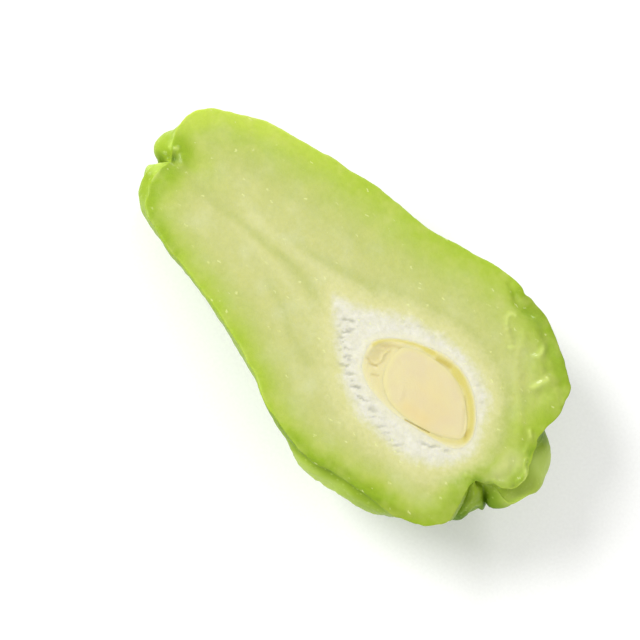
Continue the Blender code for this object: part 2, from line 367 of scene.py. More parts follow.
# %% [markdown]
# ## Points of the cut face
#
# The face must share its rim with the skin, or a gap would show along the cut. A regular grid can't follow
# such an outline, so the face is made of triangles: the rim, two close rows beside it for a softly rounded
# edge, the edge of the seed's chamber with one row beside it, and a honeycomb of points in all the space
# between. Delaunay's method joins them into even triangles.

# %% Rim, rounded edge and edge of the chamber
GRAIN_MM = 0.52  # spacing of the honeycomb
EDGE_DROP_MM = 0.28  # how far the skin's edge lies below the face
EDGE_ROWS_MM = (0.22, 0.6)  # how far the two rows lie inside the rim
CHAMBER_DROP_MM, CHAMBER_DEPTH_MM = 0.04, 9.6
CHAMBER_POINTS, CHAMBER_ROWS, CHAMBER_ROW_MM = 260, 8, 0.3


def ring_ids(rows, columns):
    """Numbers for a grid's points: one point, rows of rings whose first point comes again, one point."""
    ids = np.zeros((rows + 2, columns), int)
    ids[1:-1] = 1 + np.arange(rows * columns).reshape(rows, columns)
    ids[-1] = 1 + rows * columns
    return np.concatenate([ids, ids[:, :1]], axis=1)


drop = np.minimum(EDGE_DROP_MM, -skin[:, [1, -2], 2] / 2)
skin[:, [0, -1], 2] = -drop
skin[[0, -1]] = skin[[0, -1]].mean(axis=1, keepdims=True)

skin_id = ring_ids(SKIN_ROWS - 2, SKIN_COLUMNS)[:, :-1]
skin_points = np.concatenate([skin[0, :1], skin[1:-1].reshape(-1, 3), skin[-1, :1]])
rim_id = np.concatenate([skin_id[:, 0], skin_id[-2:0:-1, -1]])
rim = skin_points[rim_id][:, :2]

tangent = np.roll(rim, -1, axis=0) - np.roll(rim, 1, axis=0)
inward = np.stack([tangent[:, 1], -tangent[:, 0]], axis=1) / np.linalg.norm(tangent, axis=1)[:, None]
chamber = around(coat_edge, np.linspace(0, 2 * math.pi, CHAMBER_POINTS, endpoint=False))
chamber_row = chamber * (1 + CHAMBER_ROW_MM / np.linalg.norm(chamber, axis=1, keepdims=True))

print("rim of", len(rim), "points and edge of the chamber of", len(chamber))

# %% Honeycomb and triangles
low, high = rim.min(axis=0), rim.max(axis=0)
comb_y = np.arange(low[1], high[1], GRAIN_MM * math.sqrt(3) / 2)
comb_x = np.arange(low[0], high[0], GRAIN_MM)
comb = np.array([(x + GRAIN_MM / 2 * (row % 2), y) for row, y in enumerate(comb_y) for x in comb_x])
room = np.minimum(inside_mm(comb, rim) - EDGE_ROWS_MM[1], -inside_mm(comb, chamber) - CHAMBER_ROW_MM)
comb = comb[room > 0.4 * GRAIN_MM]

face_parts = [rim, *(rim + away * inward for away in EDGE_ROWS_MM), chamber, chamber_row, comb]
face_xy = np.concatenate(face_parts)
ends = np.cumsum([0] + [len(part) for part in face_parts])
on_rim, on_edge_row, _, on_chamber, on_chamber_row, _ = map(slice, ends[:-1], ends[1:])
_, _, triangles, came_from, _, _ = geometry.delaunay_2d_cdt(
    [Vector(point) for point in face_xy], [], [list(range(len(rim)))], 1, 1e-5
)
first = np.array([ids[0] for ids in came_from])
triangles = first[np.array(triangles)]
triangles = triangles[inside_mm(face_xy[triangles].mean(axis=1), chamber) < 0]
print(len(face_xy), "points and", len(triangles), "triangles in the cut face")

# %% [markdown]
# ## Relief of the cut face
#
# A knife leaves a nearly flat face, but wet flesh sags and swells by a tenth of a millimetre or two. The
# pith is softer: it tears and shrinks into small pits and short fibres. The lips beside the blossom cleft
# are rubbery, and the knife has left folds and welts in them. Each fold is a short curve with a width and
# a height, and smooth noise does the rest.

# %% Welts and grooves
# (points, half width, height), all in millimetres. A negative height is a groove.
WELTS = [
    ([(3, 37.8), (1.8, 37.2), (1.7, 35.6), (3, 33.6), (4.6, 32.6)], 0.8, 0.32),
    ([(4.6, 32.6), (7.4, 31), (9.7, 29)], 0.8, 0.22),
    ([(-4.7, 44), (-1.6, 42.8), (0.8, 41.3), (3.6, 40.9), (6.5, 41.8)], 1.0, -0.5),
    ([(5, 42), (9, 42.6), (13, 41), (17, 38.6)], 1.5, -0.35),
    ([(8.4, 36), (10.9, 32.4), (11.8, 29)], 1.2, 0.25),
    ([(16.2, 36.6), (16.9, 35), (16.9, 33.4), (16.2, 32.2)], 1.0, 0.42),
    ([(18.6, 36.4), (20.4, 33.4), (22.4, 32.4)], 1.4, -0.4),
    ([(22.2, 24.8), (22.9, 26.6), (23.4, 28.4), (23.7, 30)], 1.0, 0.45),
    ([(25.2, 24.6), (26.8, 27.6), (27, 31)], 1.5, -0.4),
    ([(13.8, 26.5), (19.6, 20.9), (24, 16.5), (27.9, 11.6)], 1.5, 0.3),
    ([(30.4, 14), (32.4, 11.6), (33.6, 8)], 0.8, 0.4),
    ([(35.6, 6.4), (37.8, 3.4), (38.2, 0.2), (36.8, -2.4)], 0.8, 0.45),
    ([(34.6, -4.8), (31.8, -7), (29.6, -8.8)], 0.8, 0.45),
    ([(33, 4), (34.6, 0.4), (33.4, -3)], 1.2, -0.45),
    ([(25.6, -10.4), (27.2, -9.6)], 0.7, 0.4),
    ([(-107.4, -0.2), (-107, 0.7), (-106.2, 0.6)], 0.6, 0.4),
    ([(-106.4, -2.2), (-105.2, -2.6), (-103.6, -2.6)], 1.1, -0.6),
]
print(len(WELTS), "welts and grooves")

# %% Veins and torn pith
# (points, half width in mm, how much darker), or paler if it is negative
VEINS = [
    ([(-101, -3), (-90, -3.5), (-74, -2.4), (-66.2, -2), (-56.6, -0.7), (-46.7, -2), (-40, -3)], 1.7, 0.5),
    ([(-64, 3), (-59.2, 4.8), (-48.4, 7.8), (-41.6, 10.3), (-34, 12)], 1.9, 0.5),
    ([(-76, 1), (-66, 2.2), (-54, 3.5), (-42, 5.6)], 1.8, -0.8),
    ([(-78, -4.5), (-62.6, -4.6), (-50.4, -6.2), (-40, -8.5)], 1.6, -0.6),
    ([(-57, -9.9), (-48.1, -12.9), (-41.3, -16.6), (-31.5, -19.5)], 1.6, 0.4),
    ([(-34, 14.6), (-18, 20.4), (-2, 23.5), (12, 21.6)], 1.8, 0.35),
    ([(15.2, 19), (22, 12), (27, 3), (28.5, -4)], 1.8, 0.55),
    ([(-88, 12), (-66, 17), (-44, 20)], 2.4, 0.25),
    ([(31, -3), (32.5, 3)], 3.2, -0.8),
]
# (points, half width, share) of the zones where the pith is torn and spongy
TORN_ZONES = [
    ([(-31.5, -1), (-29.5, -6), (-25.5, -10.5)], 3.0, 1.0),
    ([(-25, -11), (-19, -13.5), (-14, -15.5)], 1.8, 0.9),
    ([(-14, -14), (-8, -16.5), (-2, -18), (6, -19)], 1.8, 0.7),
    ([(9, -13.6), (12.5, -11), (16.6, -8.4)], 0.9, 0.9),
    ([(-20, 10.6), (-12.8, 14.2), (-2.6, 16.6)], 1.3, 0.45),
    ([(10, 12.6), (15, 8.6)], 1.2, 0.5),
]
print(len(VEINS), "veins and", len(TORN_ZONES), "torn zones")

# %% Greens of the rind
# (point, radius in mm, share) of places where the rind's green runs deeper, or is paler if it is negative.
# The paler places along the broad rim of the stem end are partly the flesh's own colour and partly painted
# light shining through the thin rind.
GREEN_AND_GLOW_PLACES = [
    ((0.6, 42.4), 3.2, 0.9), ((-106.5, 0.5), 5, 0.6), ((-103.5, 3), 5.5, 0.5), ((-104, -5), 5, 0.6),
    ((-102.8, -11), 5, 0.4), ((-98.6, -17.6), 5, 0.3), ((36.4, -3), 3, 0.4), ((-112, 14), 12, -0.8),
    ((-98, 27), 14, -0.9), ((-80, 34), 13, -0.5), ((-66, 36), 10, -0.2), ((5, 44), 6, 0.7),
    ((12, 43), 7, 0.8), ((20, 39), 7, 0.8), ((27, 34.6), 5, 0.6), ((32, 28), 4, 0.4), ((33, 21), 5, 0.4),
    ((32.4, 11), 4, 0.7), ((36, 2), 3.5, 0.4), ((30, -8), 5, 0.7), ((29.6, -17), 5, 0.5),
    ((30, -24), 6, 0.5), ((12, -28), 7, 0.5), ((-98, 6), 8, 0.2), ((22, -33), 7, 0.6),
    ((10, -35.6), 7, 0.9), ((-2, -37.6), 6, 0.9), ((-12, -40), 6, 0.5),
]
# (points, half width in mm, share) of bands where the rind's green is deepest
GREEN_BANDS = [
    ([(-108, 2.4), (-105.4, -0.4), (-103.2, -3.4), (-102.2, -7), (-102.4, -11), (-101, -15),
      (-98, -19), (-93, -21.6), (-84, -23.4)], 2.3, 1.0),
    ([(-106.4, 0.6), (-103, 1.6)], 2.2, 0.6),
    ([(-1, 43.4), (4, 41.6), (9, 42.2), (14, 41), (20, 37.8), (26, 34.6)], 1.8, 0.8),
    ([(26, 34.6), (29.6, 31.6), (31.8, 28.6)], 1.3, 0.6),
    ([(34.6, 9), (37.2, 6), (38.6, 2), (37.4, -2.4), (34, -7)], 1.4, 0.85),
    ([(22, -14.4), (26.4, -12.8), (29, -11.4), (30.2, -15)], 1.4, 0.85),
    ([(-20, -38.8), (-12, -39), (-4, -37.4), (2, -36.8), (8, -35), (14, -31.8)], 1.9, 1.0),
]
# (points, half width in mm, share) of places in deep shade, where the knife has opened a fold
DARK_FOLDS = [
    ([(-105.8, -2.6), (-105, -2.2)], 1.5, 0.9),
    ([(34.6, 10.4), (35.4, 8.4)], 0.6, 0.5),
    ([(31, -8.6), (29.2, -9.4)], 1.5, 0.8),
    ([(-27, -38.6), (-21, -40), (-16, -40.8), (-12, -40.2), (-6, -38.6), (0, -37.2), (6, -36.2),
      (12, -34.6)], 0.8, 0.4),
]
# (points, half width in mm, share) of painted highlights: pale strokes along the wet crests of the welts and
# rims
PAINTED_CREST_HIGHLIGHTS = [
    ([(22.3, 25), (22.9, 26.6), (23.4, 28.4), (23.7, 29.8)], 0.8, 0.8),
    ([(16.4, 36), (16.8, 34.6), (16.6, 33)], 0.7, 0.6),
    ([(3.2, 37.8), (1.9, 37.2), (1.8, 35.6), (3, 33.8)], 0.5, 0.8),
    ([(9.4, 30), (8.4, 28.8)], 0.5, 0.6),
    ([(37.6, 3.6), (38.8, 2.2)], 0.45, 0.9),
    ([(39.2, 0.6), (39.4, -0.8)], 0.45, 0.9),
    ([(30.2, 13.8), (31.6, 12.6)], 0.4, 0.7),
    ([(-107.2, 0), (-106.6, 0.6)], 0.5, 0.8),
    ([(-105.6, -8.4), (-104.8, -12)], 0.6, 0.5),
]
print(len(GREEN_AND_GLOW_PLACES) + len(GREEN_BANDS) + len(DARK_FOLDS) + len(PAINTED_CREST_HIGHLIGHTS), "changes of green")

# %% Wet places, and places on the skin
# (point, radius in mm) of places that are wetter and glossier than the rest
WET_PLACES = [
    ((8, 41), 5), ((20, 34), 9), ((28, 26), 7), ((37, 4), 7), ((35, -6), 7), ((28, -14), 6),
    ((-108, -7), 4),
]
# (place, reach in mm, share) of painted light on the skin: a painted highlight where the share is positive,
# and painted shade where it is negative
PAINTED_SKIN_LIGHT_PLACES = [
    ((-107.8, -5.8, -1.5), 1.9, 1.0), ((-106.8, -9, -1), 1.7, 0.6), ((-110, 0.9, -1), 1.1, 0.7),
    ((-111.1, 3.6, -1), 1.1, 0.6), ((-109.2, -0.4, -1), 0.9, 0.7), ((-109.4, -3.4, -4.5), 2, -0.6),
    ((39.8, 10.6, -8), 4, 0.8), ((39.2, 15.7, -9), 4, 0.6), ((43.4, 8.5, -18), 4, 0.6),
    ((41.7, -3, -6), 3, 0.4), ((34.7, 18.7, -8), 4.4, -1.0), ((36.4, 12, -2), 2.2, -0.5),
    ((36, -9, -4.5), 2.6, -1.0), ((36.4, -8, -12), 4, -1.3), ((39.4, -4.5, -14), 3, -0.5),
    ((32.6, -18, -16), 5.5, -1.3), ((33.6, -15.5, -21), 4.5, -0.9), ((-110.5, -7.8, -7.5), 3, 0.8),
    ((-9, -41, -7.5), 6, 0.35), ((1, -38.8, -6.5), 5, 0.35),
]
print(len(WET_PLACES), "wet places and", len(PAINTED_SKIN_LIGHT_PLACES), "places on the skin")


# %% Nearness to a place or a curve
def nearness(points_mm, middle, reach):
    """1 at the middle, and falling off smoothly with the distance from it."""
    return np.exp(-(((points_mm - middle) / reach) ** 2).sum(axis=-1))


def curve_field(curves, points):
    """The sum over curves of their height, each falling off smoothly across its half width."""
    total = np.zeros(len(points))
    for line, width, height in curves:
        close = spline(line, np.linspace(0, len(line) - 1, 40))
        total += height * np.exp(-((distance_mm(points, close) / width) ** 2))
    return total


# %% Height of the face, and measures for its finish
KNIFE_WAY = math.radians(43)  # the knife moved this way, so the torn fibres lie along it
RIND_WIDTH_MM = 1.2  # the firm rind and the edge of the seed's chamber stay flat over these widths
CHAMBER_FLAT_MM = 0.8

face_3d = np.column_stack([face_xy, np.zeros(len(face_xy))])
rind_mm = inside_mm(face_xy, rim)
rind_mm[on_rim] = 0
# The green fades about twice as fast on the straight side.
straight_factor = 1 + 0.9 * step_up(-face_xy[:, 1], -2, 14) * (1 - step_up(face_xy[:, 0], 16, 30))
straight_factor = 1 + (straight_factor - 1) * step_up(face_xy[:, 0], -104, -84)
pith_mm = inside_mm(face_xy, pith_edge)
seed_mm = -inside_mm(face_xy, chamber)
seed_mm[on_chamber] = 0
along_knife = face_xy @ (math.cos(KNIFE_WAY), math.sin(KNIFE_WAY))
across_knife = face_xy @ (-math.sin(KNIFE_WAY), math.cos(KNIFE_WAY))
knife_3d = np.column_stack([along_knife, across_knife, 0 * along_knife])
torn = np.clip(curve_field(TORN_ZONES, face_xy), 0, 1)
torn *= step_up(bumps(knife_3d, (3.6, 1.3, 1), 3), -0.05, 0.5)
pith_share = step_up(pith_mm + 1.5 * bumps(face_3d, 4), -1.5, 1.5)
green = sum(share * nearness(face_xy, place, radius) for place, radius, share in GREEN_AND_GLOW_PLACES)
lip = nearness(face_xy, (22, 31), (16, 11))

face_height = 0.12 * bumps(face_3d, 11) + 0.05 * bumps(face_3d, 2.6, 3)
face_height += curve_field(WELTS, face_xy) + 0.35 * lip * bumps(face_3d, 4.2, 2)
face_height += pith_share * (0.12 * bumps(face_3d, 2.4, 3) - 0.06 - 0.26 * torn)
face_height *= step_up(rind_mm, 0, RIND_WIDTH_MM) * step_up(seed_mm, 0, CHAMBER_FLAT_MM)
face_height[on_rim] = skin_points[rim_id, 2]
face_height[on_edge_row] = 0.3 * skin_points[rim_id, 2]
face_height[on_chamber] = -CHAMBER_DROP_MM
face_height[on_chamber_row] -= 0.03
print(f"face relief from {face_height.min():.2f} to {face_height.max():.2f} mm")

# %% [markdown]
# ## Sculpting by soft pushes
#
# Some shapes are too local for rings and folds: the hole of the stem pit, the shoulder that the knife only
# skimmed, the wavy lips. Each is a soft push, like a thumb in clay: a place, how far it reaches along the
# three axes, and how far it moves what is there. It moves skin and cut face together, so no seam opens.

# %% Pushes
# (place, reach, move), all in millimetres
PUSHES = [
    ((-105, -10.5, 0), (3, 5.5, 4), (0, 0, -0.7)),  # shoulder that the knife skimmed
    ((-101.5, -17, 0), (3.2, 4, 3.5), (0, 0, -0.6)),
    ((-107.8, -6.5, -1.5), (2.2, 2.4, 3), (-1.0, 1.4, 0.3)),  # its rounded crest beside the stem pit
    ((-106, -2.2, -1), (1.6, 1.6, 3.5), (0.4, 0, -1.6)),  # hole of the stem pit
    ((-112, -2.4, -6), (4, 4.2, 5), (-0.3, -1.4, 0.3)),  # lobe behind it
    ((0.8, 46.7, -1), (1.3, 1.6, 6), (0, -0.8, 0)),  # crease at the start of the large lip
    ((5, 47, -3), (3, 3, 5), (0, -0.5, 0)),
    ((18, 43, 0), (10, 3.2, 3.5), (0, 0, -0.8)),  # its rounded edge
    ((30, 34.5, 0), (5, 5, 3.5), (0, 0, -0.7)),
    ((37.6, 9.5, -3.4), (2.2, 6, 2), (-3.2, -0.6, -0.4)),  # cleft between the lip and the largest lobe
    ((37.5, -7.5, -3.4), (5, 2.4, 2.3), (-0.4, 1.8, 0)),  # and between the lip and the smallest one
    ((41, 5, -10), (7, 8, 7), (1.7, -0.4, 0.4)),  # largest lobe
    ((39.5, 17, -14), (5, 6, 6), (1, 1, 0)),
    ((43, 0, -11), (2.5, 2.5, 6), (-0.8, 0.8, 0)),  # fold between the two lobes
    ((40, -5, -11), (5.5, 5, 6), (2.4, -5.6, -0.4)),  # smallest lobe
    ((35.5, -4.6, -11), (2.6, 2.2, 6), (0.3, -1.6, 0)),  # its side towards the cleft
    ((38, -11, -14), (3.5, 3.5, 6), (-3.4, 0, 0)),  # lobe on the straight side
    ((37.3, 5.5, 0), (2.2, 1.8, 3), (-0.8, 0, -0.5)),  # waves of the small lip
    ((34.4, 11.3, 0), (1.6, 1.5, 3), (0.6, 0, 0.3)),
    ((38.2, -1.5, 0), (2, 2, 3), (0.3, 0, -1.2)),
    ((33, -7.4, 0), (1.4, 1.4, 3), (0, 0.7, -0.4)),
]
print(len(PUSHES), "pushes")

# %% Waves, and all pushes together
# The lips round the cleft are ragged: small waves, with their place, reach and height.
RAGGED_LIPS = ((36, -1, 0), (8, 13, 3.5), 0.55)
WAVE_MM = 3.2


def pushed(points_mm):
    """The points after all pushes and waves."""
    moved = points_mm.copy()
    for middle, reach, move in PUSHES:
        moved += nearness(points_mm, middle, reach)[:, None] * move
    middle, reach, height = RAGGED_LIPS
    near = nearness(points_mm, middle, reach)
    waved = near > 0.01  # elsewhere the waves are too low to show
    for axis, apart in enumerate((40, 80)):  # far apart, so that the two directions get waves of their own
        moved[waved, axis] += height * near[waved] * bumps(points_mm[waved] + apart, WAVE_MM)
    return moved


# %% [markdown]
# ## One closed mesh for the fruit
#
# Skin, face and chamber share their edge points, so the fruit is one watertight skin with two materials.
# A mesh can carry measurements at its points as attributes, and the materials will read them: how far a
# point is from the rind, from the pith's border and from the seed, and how high it lies on a ridge.

# %% Build a piece from points and faces
SHARP_EDGE = math.radians(62)


def piece(name, points_mm, faces, finish_index, measures, corner_uv):
    """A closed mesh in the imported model's frame, with measures at its points and a layout for baking."""
    mesh = bpy.data.meshes.new(name)
    mesh.from_pydata(laid_down(points_mm), [], faces)
    mesh.polygons.foreach_set("material_index", finish_index)
    for measure, values in measures.items():
        flat = np.asarray(values, np.float32)
        kind = "FLOAT_VECTOR" if flat.ndim == 2 else "FLOAT"
        mesh.attributes.new(measure, kind, "POINT").data.foreach_set(
            "vector" if flat.ndim == 2 else "value", flat.ravel()
        )
    layout = mesh.uv_layers.new(name="OFBake")
    layout.data.foreach_set("uv", np.asarray(corner_uv, np.float32).ravel())
    mesh.shade_smooth()
    mesh.set_sharp_from_angle(angle=SHARP_EDGE)
    mesh.validate()
    made = bpy.data.objects.new(name, mesh)
    bpy.context.scene.collection.objects.link(made)
    shape = bmesh.new()
    shape.from_mesh(mesh)
    volume = shape.calc_volume(signed=True) / MM**3 / 1000
    loose = sum(not edge.is_manifold for edge in shape.edges)
    triangle_count = sum(len(face.verts) - 2 for face in shape.faces)
    print(f"{name}: {triangle_count} triangles, {volume:.1f} cm3, {loose} open edges")
    shape.free()
    return made


# %% Skin, face and chamber together
def bowl_below(edge, top_mm, depth_mm, rows):
    """Rows of points of a bowl below an edge, from the edge down, and the point at its bottom."""
    middle = edge.mean(axis=0)
    down = [
        np.column_stack([middle + (edge - middle) * math.cos(turn), top_mm - depth_mm * math.sin(turn)])
        for turn in np.linspace(0, math.pi / 2, rows + 1)[1:-1]
    ]
    return down, [[*middle, top_mm.mean() - depth_mm]]


def rows_of_faces(ids):
    """Faces with four corners between the rows of a grid, and with three beside a row that is one point."""
    corners = np.stack([ids[:-1, :-1], ids[1:, :-1], ids[1:, 1:], ids[:-1, 1:]], axis=-1).reshape(-1, 4)
    return [[a, *dict.fromkeys((b, c, d))] if a != d else [a, b, c] for a, b, c, d in corners.tolist()]


face_id = np.arange(len(face_xy)) + len(skin_points) - on_rim.stop
face_id[on_rim] = rim_id
inner_points = np.column_stack([face_xy, face_height])[on_rim.stop :]
chamber_top = np.full(CHAMBER_POINTS, -CHAMBER_DROP_MM)
bowl, bowl_bottom = bowl_below(chamber, chamber_top, CHAMBER_DEPTH_MM, CHAMBER_ROWS)
fruit_points = pushed(np.concatenate([skin_points, inner_points, *bowl, bowl_bottom]))

bowl_id = ring_ids(len(bowl), CHAMBER_POINTS) + len(skin_points) + len(inner_points) - 1
bowl_id[0] = np.append(face_id[on_chamber], face_id[on_chamber.start])
skin_faces = rows_of_faces(skin_id)
face_faces = face_id[triangles].tolist()
bowl_faces = rows_of_faces(bowl_id[:, ::-1])

# %% The flat layout
FLAT_MARGIN = 0.01
SKIN_SHARE = 0.385  # of the flat layout's height

skin_row, skin_column = np.meshgrid(
    np.linspace(0, 1, SKIN_ROWS), np.linspace(0, 1, SKIN_COLUMNS), indexing="ij"
)
skin_column[[0, -1]] = 0.5
flat_skin = np.zeros((len(skin_points), 2))
flat_skin[skin_id, 0] = FLAT_MARGIN + (1 - 2 * FLAT_MARGIN) * skin_row
flat_skin[skin_id, 1] = FLAT_MARGIN + SKIN_SHARE * skin_column
flat_face = (fruit_points[:, :2] - low) / (high[0] - low[0]) * (1 - 2 * FLAT_MARGIN)
flat_face += (FLAT_MARGIN, SKIN_SHARE + 3 * FLAT_MARGIN)
skin_corners = [corner for face in skin_faces for corner in face]
open_corners = [corner for face in face_faces + bowl_faces for corner in face]
print(len(skin_corners) + len(open_corners), "corners in the flat layout")

# %% Measures for every point
# Fibres of the pith run outwards, so their pattern changes fast round the seed and slowly away from it.
FIBRE_TURN, FIBRE_STRETCH = 18, 0.16


def on_face(face_values, skin_value=0, chamber_value=0):
    """A measure of the cut face and its rim, with one value for the skin and one for the chamber."""
    values = np.full(len(fruit_points), float(chamber_value))
    values[: len(skin_points)] = skin_value
    values[face_id] = face_values
    return values


def on_skin(grid):
    """A measure of the skin, which is 0 on the rest of the fruit."""
    values = np.zeros(len(fruit_points))
    values[skin_id] = grid
    return values


from_middle = fruit_points[:, :2]
reach = np.maximum(np.linalg.norm(from_middle, axis=1, keepdims=True), 1)
# The skin's painted shading: shade in the crease under the edge, then the painted highlights and shade of the
# places listed above.
painted_skin_shading = on_skin(-0.7 * fold_share(EDGE_SHADE, skin_ring, skin_angle))
painted_skin_shading += sum(share * nearness(fruit_points, middle, near) for middle, near, share in PAINTED_SKIN_LIGHT_PLACES)
wet = np.max([nearness(from_middle, place, radius) for place, radius in WET_PLACES], axis=0)
fruit_measures = {
    "place_mm": fruit_points,
    "fibre_mm": np.column_stack([FIBRE_TURN * from_middle / reach, FIBRE_STRETCH * reach]),
    "ridge_mm": on_skin(ridge_mm),
    "painted_skin_shading": painted_skin_shading,
    "rind_mm": on_face(rind_mm * straight_factor, 0, 30),
    "pith_mm": on_face(pith_mm, -20, 20),
    "seed_mm": on_face(seed_mm, 30),
    "torn": on_face(torn),
    "wet": wet * step_up(fruit_points[:, 2], -18, -6),
    "green": on_face(green),
}
for name, curves in (("vein", VEINS), ("band", GREEN_BANDS), ("dark", DARK_FOLDS), ("crest", PAINTED_CREST_HIGHLIGHTS)):
    fruit_measures[name] = on_face(curve_field(curves, face_xy))
print("measures:", ", ".join(fruit_measures))

# %% The fruit
fruit = piece(
    "fruit_half_grown",
    fruit_points,
    skin_faces + face_faces + bowl_faces,
    np.repeat([0, 1], [len(skin_faces), len(face_faces) + len(bowl_faces)]),  # skin, then flesh
    fruit_measures,
    np.concatenate([flat_skin[skin_corners], flat_face[open_corners]]),
)
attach(fruit, "root")
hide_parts("fruit_half")

# %% [markdown]
# ## The coat of the seed
#
# A thin, yellowish and half translucent coat wraps the kernel. It is widest at the stem end, where it has
# dried into a hollow with a few loose strands, and along the straight side it is only a line. It is built
# as a ring: one wall down into the chamber, a face between two borders, and a bed for the kernel. Every
# row of the ring has the same number of points, so the walls and the face are one grid.

# %% Folds and lines of the coat
# (points, half width, height) in millimetres
COAT_FOLDS = [
    ([(-19.9, -5.4), (-18.2, -5.9), (-16.4, -5.2)], 0.5, -0.22),
    ([(-19.3, -6), (-17.2, -5), (-16.6, -2.8), (-17.3, -1), (-17, 0.9)], 0.5, 0.24),
    ([(-21, -3), (-19.8, -1), (-18.4, 0.6)], 0.55, 0.14),
    ([(-15.6, -8.1), (-13.9, -7)], 0.45, -0.18),
    ([(-21.3, -2), (-20.6, 1.2), (-18.3, 3.8), (-15.2, 5.6)], 0.6, 0.16),
    ([(1.2, -10.9), (5.1, -9.8), (8.8, -8.6)], 0.25, -0.35),
    ([(10.4, 6.4), (13.5, 3.7), (15.8, 0.8), (17.5, -1.5)], 0.3, -0.08),
]
DRIED_HOLLOW = ((-18, -1.6), (3, 4.8), 0.45)  # middle, half width and half length, depth in mm
GOLD_LINES = [
    ([(-21.6, -1), (-20.6, 1.9), (-18.3, 4.6), (-15, 6.9), (-11, 9.1), (-7, 10.4)], 0.65, 0.9),
    ([(-9, 9.6), (-4, 10.9), (0, 11.4), (5, 10.6)], 1.2, 0.7),
    ([(-4.6, 9.6), (-2.8, 10.4), (-0.6, 10.9)], 0.7, 0.6),
    ([(2.4, 10.8), (8.4, 9.2), (13.6, 5.4), (17, 1.2), (18, -2.4)], 1.6, 0.95),
    ([(17, -4.4), (12, -8), (6, -10)], 0.9, 0.5),
]
BROWN_LINES = [
    ([(1, -11), (5.1, -9.8), (8.8, -8.6)], 0.3, 0.75),
    ([(8.8, -8.6), (12.5, -7)], 0.25, 0.35),
    ([(9, 7.4), (13.2, 3.9), (15.8, 0.8), (17.4, -1.6)], 0.35, 0.35),
    ([(-4.2, 9.9), (-2.4, 10.5), (-0.8, 10.9)], 1.0, 0.6),
    ([(16.8, 0.4), (17.6, -2)], 0.6, 0.5),
    ([(-19.6, -5.2), (-18, -5.7), (-16.4, -5)], 0.4, 0.5),
    ([(-15.6, -8.1), (-14, -7)], 0.4, 0.4),
    ([(-19.6, 0.6), (-17.4, 2.9), (-14.9, 4.4)], 0.6, 0.4),
]
print(len(COAT_FOLDS), "folds and", len(GOLD_LINES) + len(BROWN_LINES), "coloured lines of the coat")

# %% Sizes of the coat's grid
COAT_POINTS, COAT_FACE_ROWS = 360, 36
WALL_ROWS = 8  # in each bowl of the seed
COAT_DEPTH_MM, BED_DEPTH_MM = 9.2, 7.8
# The coat is pressed this far into the pith, and the kernel into the coat, so no dark gap shows.
COAT_PRESS_MM, BED_PRESS_MM = 0.07, 0.06
COAT_DROP_MM = 0.025  # how far the coat's face lies below the cut, and how much more at its two borders
OUTER_DROP_MM, BED_DROP_MM = (0.02, 0.1), (0.012, 0.2)  # (depth, half width)

# %% Face of the coat
coat_angle = np.linspace(0, 2 * math.pi, COAT_POINTS, endpoint=False)
coat_outer = around(coat_edge, coat_angle)
coat_outer *= 1 + COAT_PRESS_MM / np.linalg.norm(coat_outer, axis=1, keepdims=True)
bed_edge = around(kernel_edge, coat_angle)
bed_edge *= 1 - BED_PRESS_MM / np.linalg.norm(bed_edge, axis=1, keepdims=True)

share = np.linspace(0, 1, COAT_FACE_ROWS)[:, None, None]
coat_xy = coat_outer + (bed_edge - coat_outer) * share
flat = coat_xy.reshape(-1, 2)
width = np.linalg.norm(coat_outer - bed_edge, axis=1)
to_outer = share[..., 0] * width
to_bed = width - to_outer
middle, size, depth = DRIED_HOLLOW
hollow = np.exp(-((((flat - middle) / size) ** 2).sum(axis=1) ** 2))
flat_3d = np.column_stack([flat, np.zeros(len(flat))])
coat_z = 0.06 * bumps(flat_3d, 3, 2) + 0.03 * bumps(flat_3d, 1, 2) - depth * hollow
coat_z = (coat_z + curve_field(COAT_FOLDS, flat)).reshape(to_outer.shape)
coat_z *= step_up(to_outer, 0, CHAMBER_FLAT_MM)
coat_z -= COAT_DROP_MM
for from_border, (drop, width) in ((to_outer, OUTER_DROP_MM), (to_bed, BED_DROP_MM)):
    coat_z -= drop * np.exp(-((from_border / width) ** 2))
print(f"coat's face from {coat_z.min():.2f} to {coat_z.max():.2f} mm")

# %% Walls of the coat
coat_wall, coat_bottom = bowl_below(coat_outer, coat_z[0], COAT_DEPTH_MM, WALL_ROWS)
bed_wall, bed_bottom = bowl_below(bed_edge, coat_z[-1], BED_DEPTH_MM, WALL_ROWS)
coat_top = np.concatenate([coat_xy, coat_z[..., None]], axis=-1)
coat_grid = np.concatenate([np.array(coat_wall)[::-1], coat_top, np.array(bed_wall)])
coat_points = np.concatenate([coat_bottom, coat_grid.reshape(-1, 3), bed_bottom])
coat_faces = rows_of_faces(ring_ids(len(coat_grid), COAT_POINTS)[:, ::-1])
print(len(coat_points), "points in the coat")

# %% The coat
GOLD_REACH_MM = 1.3  # gold is weaker within this distance of the pith
SEED_FLAT_SHARE = 0.78  # of the flat layout's width


def on_coat(top_values, below, beyond):
    """A measure for every point of the coat: its face's, and one value for each wall."""
    walls = np.ones((WALL_ROWS - 1) * COAT_POINTS + 1)
    return np.concatenate([walls * below, np.ravel(top_values), walls * beyond])


def seed_layout(points, faces, columns, edge, flat_share):
    """The flat layout of a piece of the seed, with its bowl above its face."""
    corners = [corner for face in faces for corner in face]
    flat = (points[:, :2] - edge.min(axis=0)) / np.ptp(edge[:, 0]) * flat_share + FLAT_MARGIN
    in_bowl = np.arange(len(faces)) < WALL_ROWS * columns
    in_bowl = np.repeat(in_bowl, [len(face) for face in faces])
    return flat[corners] + np.where(in_bowl[:, None], (0, 0.5), (0, 0))


